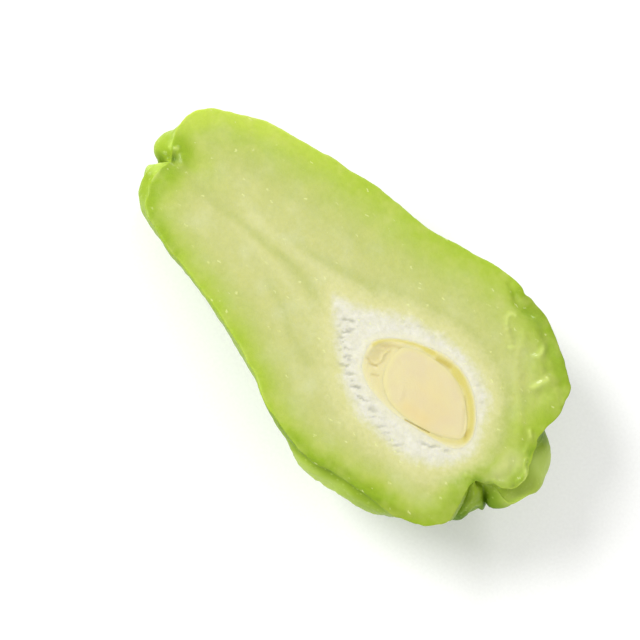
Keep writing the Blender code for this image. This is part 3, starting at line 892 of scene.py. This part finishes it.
gold = curve_field(GOLD_LINES, flat).reshape(to_outer.shape)
coat = piece(
    "seed_coat_grown",
    coat_points,
    coat_faces,
    np.zeros(len(coat_faces), int),
    {
        "place_mm": coat_points,
        "to_pith_mm": on_coat(to_outer, 0, 5),
        "gold": on_coat(gold * (0.3 + 0.7 * step_up(to_outer, 0, GOLD_REACH_MM)), 0.3, 0.6),
        "brown": on_coat(curve_field(BROWN_LINES, flat), 0.2, 0.5),
        "hollow": on_coat(hollow, 0, 0),
    },
    seed_layout(coat_points, coat_faces, COAT_POINTS, coat_outer, SEED_FLAT_SHARE),
)
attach(coat, "root")
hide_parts("seed_coat")

# %% [markdown]
# ## The kernel of the seed
#
# The kernel is one firm, waxy body, cut flat with the fruit. Its face is smooth, with a slightly raised
# pale rim towards the stem, and its edge is rounded where the knife pressed it. It is a grid of rings from
# the bottom of its bowl up over the edge to the middle of the face.

# %% Folds and lines of the kernel
KERNEL_FOLDS = [
    ([(-14, 5.2), (-14.2, 0.6), (-12.8, -3.8), (-10.2, -7.4)], 0.9, 0.05),
    ([(-6.3, -4.3), (-5, -6), (-4.4, -7.4)], 0.5, 0.1),
    ([(-8.2, -3), (-6.4, -2.6)], 0.4, 0.06),
    ([(12, 4.4), (14.4, 1.4), (16, -1)], 0.5, -0.15),
]
# (points, half width, share) of the pale rim: partly the rim's own colour and partly painted highlight on the
# raised rim
PALE_RIM_AND_HIGHLIGHT_LINES = [
    ([(-13.4, 6.4), (-14.4, 3.2), (-14, -1.6), (-11.8, -6.2), (-8.2, -9)], 1.1, 0.7),
    ([(-8.2, -9.2), (-2, -10.3), (4, -9.5)], 0.6, 0.4),
    ([(-12, 7), (-5, 8.9), (2, 9)], 0.7, 0.4),
]
WARM_LINES = [
    ([(-1, -8.2), (5, -7)], 2.4, 0.7),
    ([(0, 0), (7, -2)], 5, 0.35),
]
print(len(KERNEL_FOLDS), "folds and", len(PALE_RIM_AND_HIGHLIGHT_LINES) + len(WARM_LINES), "coloured lines of the kernel")

# %% Grid of the kernel
KERNEL_POINTS, KERNEL_FACE_ROWS, KERNEL_DEPTH_MM = 300, 34, 7.3
KERNEL_DROP_MM = 0.015  # how far its face lies below the cut
ROUNDED_DROP_MM, ROUNDED_WIDTH_MM = 0.02, 0.3  # and its edge below that

kernel_outer = around(kernel_edge, np.linspace(0, 2 * math.pi, KERNEL_POINTS, endpoint=False))
# Rows are closer together near the edge.
share = np.linspace(0, 1, KERNEL_FACE_ROWS, endpoint=False)[:, None, None] ** 1.5
kernel_xy = np.concatenate([(kernel_outer * (1 - share)).reshape(-1, 2), [[0, 0]]])
from_edge = np.append((share[..., 0] * np.linalg.norm(kernel_outer, axis=1)).ravel(), 8)
kernel_z = 0.07 * bumps(np.column_stack([kernel_xy, 0 * from_edge]), 6, 2)
kernel_z += curve_field(KERNEL_FOLDS, kernel_xy) - KERNEL_DROP_MM
kernel_z -= ROUNDED_DROP_MM * np.exp(-((from_edge / ROUNDED_WIDTH_MM) ** 1.5))
kernel_wall, kernel_bottom = bowl_below(
    kernel_outer, kernel_z[:KERNEL_POINTS], KERNEL_DEPTH_MM, WALL_ROWS
)
kernel_top = np.column_stack([kernel_xy, kernel_z])
kernel_points = np.concatenate([kernel_bottom, *kernel_wall[::-1], kernel_top])
kernel_faces = rows_of_faces(ring_ids(len(kernel_wall) + KERNEL_FACE_ROWS, KERNEL_POINTS)[:, ::-1])
print(len(kernel_points), "points in the kernel")

# %% The kernel
in_bowl = np.zeros(len(kernel_points) - len(kernel_xy))
kernel = piece(
    "seed_kernel_grown",
    kernel_points,
    kernel_faces,
    np.zeros(len(kernel_faces), int),
    {
        "place_mm": kernel_points,
        "edge_mm": np.append(in_bowl, from_edge),
        "rim": np.append(in_bowl, curve_field(PALE_RIM_AND_HIGHLIGHT_LINES, kernel_xy)),
        "warm": np.append(in_bowl, curve_field(WARM_LINES, kernel_xy)),
    },
    seed_layout(kernel_points, kernel_faces, KERNEL_POINTS, kernel_outer, 0.95 * SEED_FLAT_SHARE),
)
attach(kernel, "root")
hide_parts("seed_kernel")

# %% [markdown]
# ## Nodes and colours
#
# Every finish below is made of shader nodes. One function adds a node, sets it and links it, so a finish
# reads as a list of steps. Colours are written as hex codes, as on a paint chart, and turned into the
# linear values that the renderer calculates with.


# %% Colour codes, and one function for every node
def linear(code):
    """A colour code such as #A3C12F as linear red, green, blue and alpha."""
    parts = [int(code[at : at + 2], 16) / 255 for at in (1, 3, 5)]
    return (*(part / 12.92 if part <= 0.04045 else ((part + 0.055) / 1.055) ** 2.4 for part in parts), 1)


MIX_A, MIX_B, MIX_RESULT = 6, 7, 2  # a Mix node's colour sockets


def add(tree, kind, inputs=None, stops=(), **settings):
    """Adds a node, with its settings, its inputs (values, colour codes or links) and a ramp's stops."""
    made = tree.nodes.new("ShaderNode" + kind)
    for setting, value in settings.items():
        setattr(made, setting, value)
    for key, value in (inputs or {}).items():
        if isinstance(value, bpy.types.NodeSocket):
            tree.links.new(value, made.inputs[key])
        else:
            made.inputs[key].default_value = linear(value) if isinstance(value, str) else value
    for number, (place, colour) in enumerate(stops):
        ramp = made.color_ramp.elements
        stop = ramp[number] if number < 2 else ramp.new(place)
        stop.position, stop.color = place, linear(colour)
    return made


# %% Layers of colour, and a new finish
def lay_over(tree, colour, layers, **settings):
    """Lays colours over a colour. A layer is (value, its range, the layer's share at both ends, colour)."""
    for value, (low, high), (least, most), other in layers:
        ranges = {"Value": value, "From Min": low, "From Max": high, "To Min": least, "To Max": most}
        share = add(tree, "MapRange", ranges, **settings).outputs[0]
        mixed = add(tree, "Mix", {0: share, MIX_A: colour, MIX_B: other}, data_type="RGBA")
        colour = mixed.outputs[MIX_RESULT]
    return colour


def new_finish(name, *measures):
    """A material, its empty tree of nodes, and what the measures that it reads put out."""
    made = bpy.data.materials.new(name)
    made.use_nodes = True
    tree = made.node_tree
    tree.nodes.clear()
    return made, tree, {read: add(tree, "Attribute", attribute_name=read).outputs for read in measures}


# %% [markdown]
# ## Finish: cut chayote flesh and pith
#
# Flesh that was just cut is wet and slightly translucent, so light goes in, scatters and comes out soft.
# Its colour depends on where it grew: saturated green under the skin, pale yellow-green inside, and
# white in the spongy pith. Three ramps turn the distance from the rind into a colour, for pale, usual and
# deep green places. Clouds a few millimetres wide keep the borders from looking drawn, and droplets of
# juice give small glints, partly as bumps and partly as painted highlight. Some light and shade is painted
# too: the glow of light through the thin rind at the broad side of the stem end, shade in the opened
# folds, and highlights on the wet crests of the lips.

# %% Rind and flesh
flesh, tree, measure = new_finish(
    "freshly cut chayote flesh", "place_mm", "fibre_mm", "rind_mm", "pith_mm", "seed_mm",
    "vein", "torn", "green", "wet", "band", "dark", "crest",
)
place = measure["place_mm"]["Vector"]
# (size in mm, octaves, roughness) of clouds, mottling, grain, milkier places and yellower places
cloud, mottle, grain, milky, yellow = (
    add(tree, "TexNoise", {
        "Vector": place, "Scale": 1 / size, "Detail": detail, "Roughness": roughness,
    }).outputs[0]
    for size, detail, roughness in (
        (8, 3.0, 0.5), (1.7, 4.0, 0.6), (0.5, 2.0, 0.5), (10, 4.0, 0.5), (5.5, 2.0, 0.5),
    )
)

# The green fades by the distance from the rind, in usual places, deep green ones and pale ones.
RIND_REACH_MM = 30.0
shift = add(tree, "Math", {0: cloud, 1: 5.0, 2: -2.5}, operation="MULTIPLY_ADD").outputs[0]
rind = add(tree, "Math", {0: measure["rind_mm"]["Fac"], 1: shift}, operation="ADD").outputs[0]
rind = add(tree, "MapRange", {"Value": rind, "From Max": RIND_REACH_MM}).outputs[0]
usual, deep, pale = (add(tree, "ValToRGB", {0: rind}, stops=stops).outputs[0] for stops in (
    [(0, "#9AB32C"), (0.12, "#9FB43A"), (0.25, "#A5B54E"),
     (0.45, "#ADB664"), (0.7, "#B5B973"), (1, "#B9BB7C")],
    [(0, "#80990D"), (0.13, "#849A1A"), (0.2, "#94A92E"),
     (0.32, "#A2B243"), (0.55, "#B0B863"), (1, "#B9BB7C")],
    [(0, "#B2C644"), (0.14, "#ACBE44"), (0.25, "#A4B54E"),
     (0.45, "#A4B058"), (0.7, "#AAB063"), (1, "#AFB26C")],
))
colour = lay_over(tree, usual, (
    (measure["green"]["Fac"], (0.0, 0.9), (0.0, 1.0), deep),
    # paler where the share is negative: at the broad rim of the stem end, partly painted glow of light
    # through the rind
    (measure["green"]["Fac"], (0.0, -0.9), (0.0, 1.0), pale),
    (measure["band"]["Fac"], (0.0, 1.0), (0.0, 0.85), "#8AA61B"),
    (measure["dark"]["Fac"], (0.0, 1.0), (0.0, 0.85), "#5C7C10"),
    # painted highlight along the wet crests
    (measure["crest"]["Fac"], (0.0, 1.0), (0.0, 0.75), "#C8D777"),
))

# %% Clouds and veins
# Flesh is milkier in places, more so far from the rind, or yellower. Veins are darker or paler.
milky = add(tree, "MapRange", {"Value": milky, "From Min": 0.48, "From Max": 0.72, "To Max": 0.45}).outputs[0]
milky = add(tree, "Math", {0: milky, 1: rind}, operation="MULTIPLY").outputs[0]
colour = add(
    tree, "Mix", {0: milky, MIX_A: colour, MIX_B: "#C9CCA2"}, data_type="RGBA"
).outputs[MIX_RESULT]
colour = lay_over(tree, colour, (
    (yellow, (0.45, 0.7), (0.0, 0.22), "#C3C277"),
    (measure["vein"]["Fac"], (0.0, 1.0), (0.0, 0.8), "#A1AA5B"),
    (measure["vein"]["Fac"], (0.0, -1.0), (0.0, 0.5), "#CBCA94"),
))

# %% Pith
# Its border is yellowish and ragged. The pith itself is like cotton wool, with torn hollows, whose small pits
# get painted grey shade.
PITH_WHITE, PITH_SHADE, PITH_HOLLOW_SHADE, PITH_FRINGE = "#D6D4C5", "#CBC9B8", "#A6A593", "#C9C78F"
FIBRE_MM = 0.9
strands = add(tree, "TexNoise", {
    "Vector": measure["fibre_mm"]["Vector"], "Scale": 1 / FIBRE_MM, "Detail": 3.0,
}).outputs[0]
ragged = add(tree, "Math", {0: mottle, 1: 3.0, 2: shift}, operation="MULTIPLY_ADD").outputs[0]
pith = add(tree, "Math", {0: measure["pith_mm"]["Fac"], 1: ragged}, operation="ADD").outputs[0]
cotton = add(tree, "TexNoise", {
    "Vector": place, "Scale": 1 / 2.4, "Detail": 5.0, "Roughness": 0.65, "Distortion": 0.5,
}).outputs[0]
cotton = add(tree, "Math", {0: strands, 1: 0.25, 2: cotton}, operation="MULTIPLY_ADD").outputs[0]
pith_colour = lay_over(tree, PITH_SHADE, (
    (cotton, (0.45, 0.8), (0.0, 1.0), PITH_WHITE),
    (measure["torn"]["Fac"], (0.0, 1.0), (0.0, 0.8), PITH_HOLLOW_SHADE),
))
colour = lay_over(tree, colour, (
    (pith, (-6.0, 1.5), (0.0, 0.85), PITH_FRINGE), (pith, (0.0, 5.0), (0.0, 1.0), pith_colour),
), interpolation_type="SMOOTHSTEP")
colour = lay_over(tree, colour, [(measure["seed_mm"]["Fac"], (0.0, 2.4), (0.7, 0.0), "#D6D2B4")])
patches = add(tree, "ValToRGB", {0: mottle}, stops=[(0.35, "#F0F2E6"), (0.65, "#FFFFFF")]).outputs[0]
colour = add(
    tree, "Mix", {0: 0.45, MIX_A: colour, MIX_B: patches}, data_type="RGBA", blend_type="MULTIPLY"
).outputs[MIX_RESULT]

# %% Droplets and shreds
# They are pale specks of uneven shape, gathered in clusters and drawn out along the knife's way. Their
# pale colour is partly painted highlight, the glint of the droplets, and partly the shreds' own colour.
DROPLET_SPACING_MM = 2.6
bent = add(tree, "TexNoise", {"Vector": place, "Scale": 1 / 0.9, "Detail": 2.0}).outputs[1]
bent = add(
    tree, "VectorMath", {0: bent, 1: (1.5, 1.5, 1.5), 2: place}, operation="MULTIPLY_ADD"
).outputs[0]
bent = add(tree, "Mapping", {
    "Vector": bent, "Rotation": (0, 0, -KNIFE_WAY), "Scale": (0.6, 1.25, 1),
}).outputs[0]
cells = add(tree, "TexVoronoi", {"Vector": bent, "Scale": 1 / DROPLET_SPACING_MM}).outputs
droplet = add(tree, "MapRange", {"Value": cells["Distance"], "From Min": 0.19, "From Max": 0.08}).outputs[0]
chosen = add(tree, "SeparateColor", {0: cells["Color"]}).outputs[0]
chosen = add(tree, "Math", {0: chosen, 1: cloud}, operation="MULTIPLY").outputs[0]
chosen = add(tree, "MapRange", {"Value": chosen, "From Min": 0.26, "From Max": 0.38}).outputs[0]
droplet = add(tree, "Math", {0: droplet, 1: chosen}, operation="MULTIPLY").outputs[0]
# The specks' pale colour is partly painted highlight.
specks = add(tree, "Math", {0: droplet, 1: 0.5}, operation="MULTIPLY").outputs[0]
colour = add(
    tree, "Mix", {0: specks, MIX_A: colour, MIX_B: "#DADF9A"}, data_type="RGBA"
).outputs[MIX_RESULT]

# %% Wet surface of the flesh
relief = add(tree, "Math", {0: mottle, 1: 1.6, 2: grain}, operation="MULTIPLY_ADD").outputs[0]
relief = add(tree, "Math", {0: droplet, 1: 1.0, 2: relief}, operation="MULTIPLY_ADD").outputs[0]
bump = add(tree, "Bump", {"Strength": 0.5, "Distance": 0.0001, "Height": relief}).outputs[0]
gloss = add(tree, "MapRange", {"Value": mottle, "To Min": 0.34, "To Max": 0.55}).outputs[0]
film = add(tree, "MapRange", {"Value": measure["wet"]["Fac"], "To Min": 0.1, "To Max": 0.6}).outputs[0]
shader = add(tree, "BsdfPrincipled", {
    "Base Color": colour, "Roughness": gloss, "Normal": bump, "IOR": 1.36,
    "Subsurface Weight": 0.35, "Subsurface Radius": (1.0, 0.9, 0.4), "Subsurface Scale": 0.0015,
    "Specular IOR Level": 0.4, "Coat Weight": film, "Coat Roughness": 0.2,
})
add(tree, "OutputMaterial", {0: shader.outputs[0]})
print(flesh.name, "has", len(tree.nodes), "nodes")

# %% [markdown]
# ## Finish: waxy chayote skin
#
# The skin is smooth and waxy, light green on the ridges and darker in the furrows, with faint lengthwise
# streaks and pale pores about a millimetre and a half apart. The wax gives it a clear but soft gloss.

# %% Skin
PORE_SPACING_MM = 1.6
skin_finish, tree, measure = new_finish("waxy chayote skin", "place_mm", "ridge_mm", "wet", "painted_skin_shading")
place = measure["place_mm"]["Vector"]
drawn = add(tree, "Mapping", {"Vector": place, "Scale": (0.25, 1.0, 1.0)}).outputs[0]
# (where, size in mm, octaves) of clouds, of streaks that are drawn out lengthwise, and of fine relief
cloud, streaks, fine = (
    add(tree, "TexNoise", {"Vector": where, "Scale": 1 / size, "Detail": detail}).outputs[0]
    for where, size, detail in ((place, 14, 3.0), (drawn, 3.5, 4.0), (place, 0.9, 3.0))
)
tone = add(tree, "Math", {0: cloud, 1: 0.9, 2: -0.05}, operation="MULTIPLY_ADD").outputs[0]
for value, share in ((measure["ridge_mm"]["Fac"], 0.11), (streaks, 0.3)):
    tone = add(tree, "Math", {0: value, 1: share, 2: tone}, operation="MULTIPLY_ADD").outputs[0]
colour = add(tree, "ValToRGB", {0: tone}, stops=[
    (0, "#456808"), (0.3, "#64850E"), (0.55, "#7D9B1E"), (0.75, "#95B038"), (1, "#AFC35C"),
]).outputs[0]

# %% Cut, clefts and crests of the skin
# Towards the cut the skin is yellower. Within two millimetres of it, juice has soaked in, and the rind's
# green shows through. Then light and shade are painted in: deep green shade in the clefts and on lobes that
# face away from the light, and pale highlights where shoulders, crests and lobes would catch the light.
depth = add(tree, "SeparateXYZ", {0: place}).outputs[2]
colour = lay_over(tree, colour, [(depth, (-18.0, -3.0), (0.0, 0.6), "#90A62C")])
colour = lay_over(
    tree, colour, [(depth, (-2.6, -0.4), (0.0, 0.75), "#8FAA1E")], interpolation_type="SMOOTHSTEP"
)
# Painted light of the skin: a negative share paints shade deep green, a positive share paints highlights
# pale.
painted_light_share = measure["painted_skin_shading"]["Fac"]
painted_cleft_shade = add(tree, "MapRange", {"Value": painted_light_share, "From Max": -1.0, "To Max": 0.85}).outputs[0]
colour = add(
    tree, "Mix", {0: painted_cleft_shade, MIX_A: colour, MIX_B: "#4F7209"}, data_type="RGBA"
).outputs[MIX_RESULT]
colour = lay_over(tree, colour, [(painted_light_share, (0.0, 1.0), (0.0, 0.85), "#BFD568")])

# %% Pores and wax
pores = add(tree, "TexVoronoi", {"Vector": place, "Scale": 1 / PORE_SPACING_MM}).outputs["Distance"]
pore = add(tree, "MapRange", {"Value": pores, "From Min": 0.3, "From Max": 0.12, "To Max": 0.26}).outputs[0]
colour = add(
    tree, "Mix", {0: pore, MIX_A: colour, MIX_B: "#BACD66"}, data_type="RGBA"
).outputs[MIX_RESULT]

relief = add(tree, "Math", {0: pore, 1: -1.5, 2: fine}, operation="MULTIPLY_ADD").outputs[0]
bump = add(tree, "Bump", {"Strength": 0.5, "Distance": 0.00015, "Height": relief}).outputs[0]
gloss = add(tree, "MapRange", {"Value": streaks, "To Min": 0.32, "To Max": 0.55}).outputs[0]
# The clefts, where shade is painted, have no wax to shine.
film = add(tree, "MapRange", {"Value": measure["wet"]["Fac"], "To Min": 0.1, "To Max": 0.2}).outputs[0]
film = add(
    tree, "Math", {0: painted_cleft_shade, 1: -0.25, 2: film}, operation="MULTIPLY_ADD", use_clamp=True
).outputs[0]
shader = add(tree, "BsdfPrincipled", {
    "Base Color": colour, "Roughness": gloss, "Normal": bump, "IOR": 1.45,
    "Subsurface Weight": 0.15, "Subsurface Radius": (0.8, 1.0, 0.3), "Subsurface Scale": 0.001,
    "Specular IOR Level": 0.06, "Coat Weight": film, "Coat Roughness": 0.17,
})
add(tree, "OutputMaterial", {0: shader.outputs[0]})
print(skin_finish.name, "has", len(tree.nodes), "nodes")
fruit.data.materials.append(skin_finish)
fruit.data.materials.append(flesh)

# %% [markdown]
# ## Finish: seed coat
#
# The coat is a thin yellowish skin, wet and half translucent: paler where it lies against the pith, golden
# where it is thicker, ochre in the dried hollow, and brown only along its cracks.

# %% Seed coat
coat_finish, tree, measure = new_finish(
    "translucent seed coat", "place_mm", "to_pith_mm", "gold", "brown", "hollow"
)
place = measure["place_mm"]["Vector"]
cloud, grain = (
    add(tree, "TexNoise", {"Vector": place, "Scale": 1 / size, "Detail": detail}).outputs[0]
    for size, detail in ((2.5, 4.0), (0.4, 2.0))
)
across = add(
    tree, "Math", {0: cloud, 1: 0.8, 2: measure["to_pith_mm"]["Fac"]}, operation="MULTIPLY_ADD"
).outputs[0]
across = add(tree, "MapRange", {"Value": across, "From Max": 4.0}).outputs[0]
colour = add(tree, "ValToRGB", {0: across}, stops=[
    (0, "#D6D2B4"), (0.3, "#D3CC9E"), (0.6, "#D0C898"), (1, "#CEC593"),
]).outputs[0]
ochre = add(
    tree, "Mix", {0: cloud, MIX_A: "#BBAF76", MIX_B: "#CFC595"}, data_type="RGBA"
).outputs[MIX_RESULT]
colour = lay_over(tree, colour, (
    (measure["hollow"]["Fac"], (0.0, 1.0), (0.0, 0.75), ochre),
    (measure["gold"]["Fac"], (0.0, 1.0), (0.0, 0.85), "#C5BA5E"),
    (measure["brown"]["Fac"], (0.0, 1.0), (0.0, 0.75), "#A79240"),
))
bump = add(tree, "Bump", {"Strength": 0.5, "Distance": 0.0001, "Height": grain}).outputs[0]
gloss = add(tree, "MapRange", {"Value": cloud, "To Min": 0.25, "To Max": 0.45}).outputs[0]
shader = add(tree, "BsdfPrincipled", {
    "Base Color": colour, "Roughness": gloss, "Normal": bump, "IOR": 1.4,
    "Subsurface Weight": 0.4, "Subsurface Radius": (1.0, 0.8, 0.3), "Subsurface Scale": 0.0015,
    "Specular IOR Level": 0.35, "Coat Weight": 0.12, "Coat Roughness": 0.2,
})
add(tree, "OutputMaterial", {0: shader.outputs[0]})
print(coat_finish.name, "has", len(tree.nodes), "nodes")
coat.data.materials.append(coat_finish)

# %% [markdown]
# ## Finish: kernel
#
# The kernel is dense and waxy, like a peeled bean. Its colour hardly changes across the face: cream, a
# little warmer towards the straight side, with a brighter yellow rim at the stem end, which is partly
# painted highlight on the raised rim.

# %% Kernel
kernel_finish, tree, measure = new_finish("waxy seed kernel", "place_mm", "edge_mm", "rim", "warm")
place = measure["place_mm"]["Vector"]
cloud, grain = (
    add(tree, "TexNoise", {"Vector": place, "Scale": 1 / size, "Detail": 3.0}).outputs[0] for size in (7, 0.6)
)
colour = add(tree, "ValToRGB", {0: cloud}, stops=[(0.3, "#D0C694"), (0.7, "#CCBF98")]).outputs[0]
colour = lay_over(tree, colour, (
    (measure["edge_mm"]["Fac"], (0.0, 1.6), (0.6, 0.0), "#CCC183"),
    (measure["warm"]["Fac"], (0.0, 1.0), (0.0, 0.75), "#D2BD7F"),
    # pale rim, partly painted highlight
    (measure["rim"]["Fac"], (0.0, 1.0), (0.0, 0.75), "#D4CD93"),
))
bump = add(tree, "Bump", {"Strength": 0.4, "Distance": 0.0001, "Height": grain}).outputs[0]
gloss = add(tree, "MapRange", {"Value": grain, "To Min": 0.32, "To Max": 0.5}).outputs[0]
shader = add(tree, "BsdfPrincipled", {
    "Base Color": colour, "Roughness": gloss, "Normal": bump, "IOR": 1.45,
    "Subsurface Weight": 0.3, "Subsurface Radius": (1.0, 0.85, 0.5), "Subsurface Scale": 0.0012,
    "Coat Weight": 0.15, "Coat Roughness": 0.2,
})
add(tree, "OutputMaterial", {0: shader.outputs[0]})
print(kernel_finish.name, "has", len(tree.nodes), "nodes")
kernel.data.materials.append(kernel_finish)

# %% [markdown]
# ## Floor and light
#
# A white card under a soft sky keeps the background clean and lights the skin from below as well. A large
# lamp beyond the stem end, on the straight side, gives the direction of the light and a soft shadow. A
# small one on the broad side puts the gloss on the lips, and a low one past the cleft lights the lobes.

# %% White card
half = 2.0  # metres
card = bpy.data.meshes.new("white_card")
card.from_pydata([(-half, -half, 0), (half, -half, 0), (half, half, 0), (-half, half, 0)], [], [(0, 1, 2, 3)])
floor = bpy.data.objects.new("white_card", card)
bpy.context.scene.collection.objects.link(floor)
card_finish, tree, _ = new_finish("matt white card")
FIBRES_PER_METRE = 900.0
place = add(tree, "TexCoord").outputs["Object"]
fibre = add(tree, "TexNoise", {"Vector": place, "Scale": FIBRES_PER_METRE, "Detail": 2.0}).outputs[0]
colour = add(tree, "ValToRGB", {0: fibre}, stops=[(0.3, "#F9F9F8"), (0.7, "#FDFDFC")]).outputs[0]
shader = add(tree, "BsdfPrincipled", {"Base Color": colour, "Roughness": 0.9, "Specular IOR Level": 0.2})
add(tree, "OutputMaterial", {0: shader.outputs[0]})
print(card_finish.name, "has", len(tree.nodes), "nodes")
card.materials.append(card_finish)

# %% Sky and lamps
SKY_STRENGTH = 0.7
# (name, direction in the fruit's frame, distance in m, side in m, power in W)
LAMPS = [
    ("large_soft_lamp", (-0.75, -0.35, 0.9), 2.2, 1.0, 40),
    ("small_soft_lamp", (-0.45, 0.9, 0.75), 1.2, 0.25, 3),
    ("low_soft_lamp", (0.9, -0.55, 0.15), 1.2, 0.3, 2.2),
]
world = bpy.data.worlds.new("soft sky")
world.use_nodes = True
sky = world.node_tree.nodes["Background"].inputs
sky["Color"].default_value = (1, 1, 1, 1)
sky["Strength"].default_value = SKY_STRENGTH
bpy.context.scene.world = world
for name, direction, away, side, power in LAMPS:
    lamp = bpy.data.objects.new(name, bpy.data.lights.new(name, "AREA"))
    lamp.data.shape, lamp.data.size, lamp.data.energy = "DISK", side, power
    towards = Vector(LAID_TURN @ np.array(direction)).normalized()
    lamp.location = towards * away
    lamp.rotation_euler = towards.to_track_quat("Z", "Y").to_euler()
    bpy.context.scene.collection.objects.link(lamp)
    print(name, "at", [round(side, 2) for side in lamp.location], "m")
bpy.context.scene.view_settings.view_transform = "Standard"
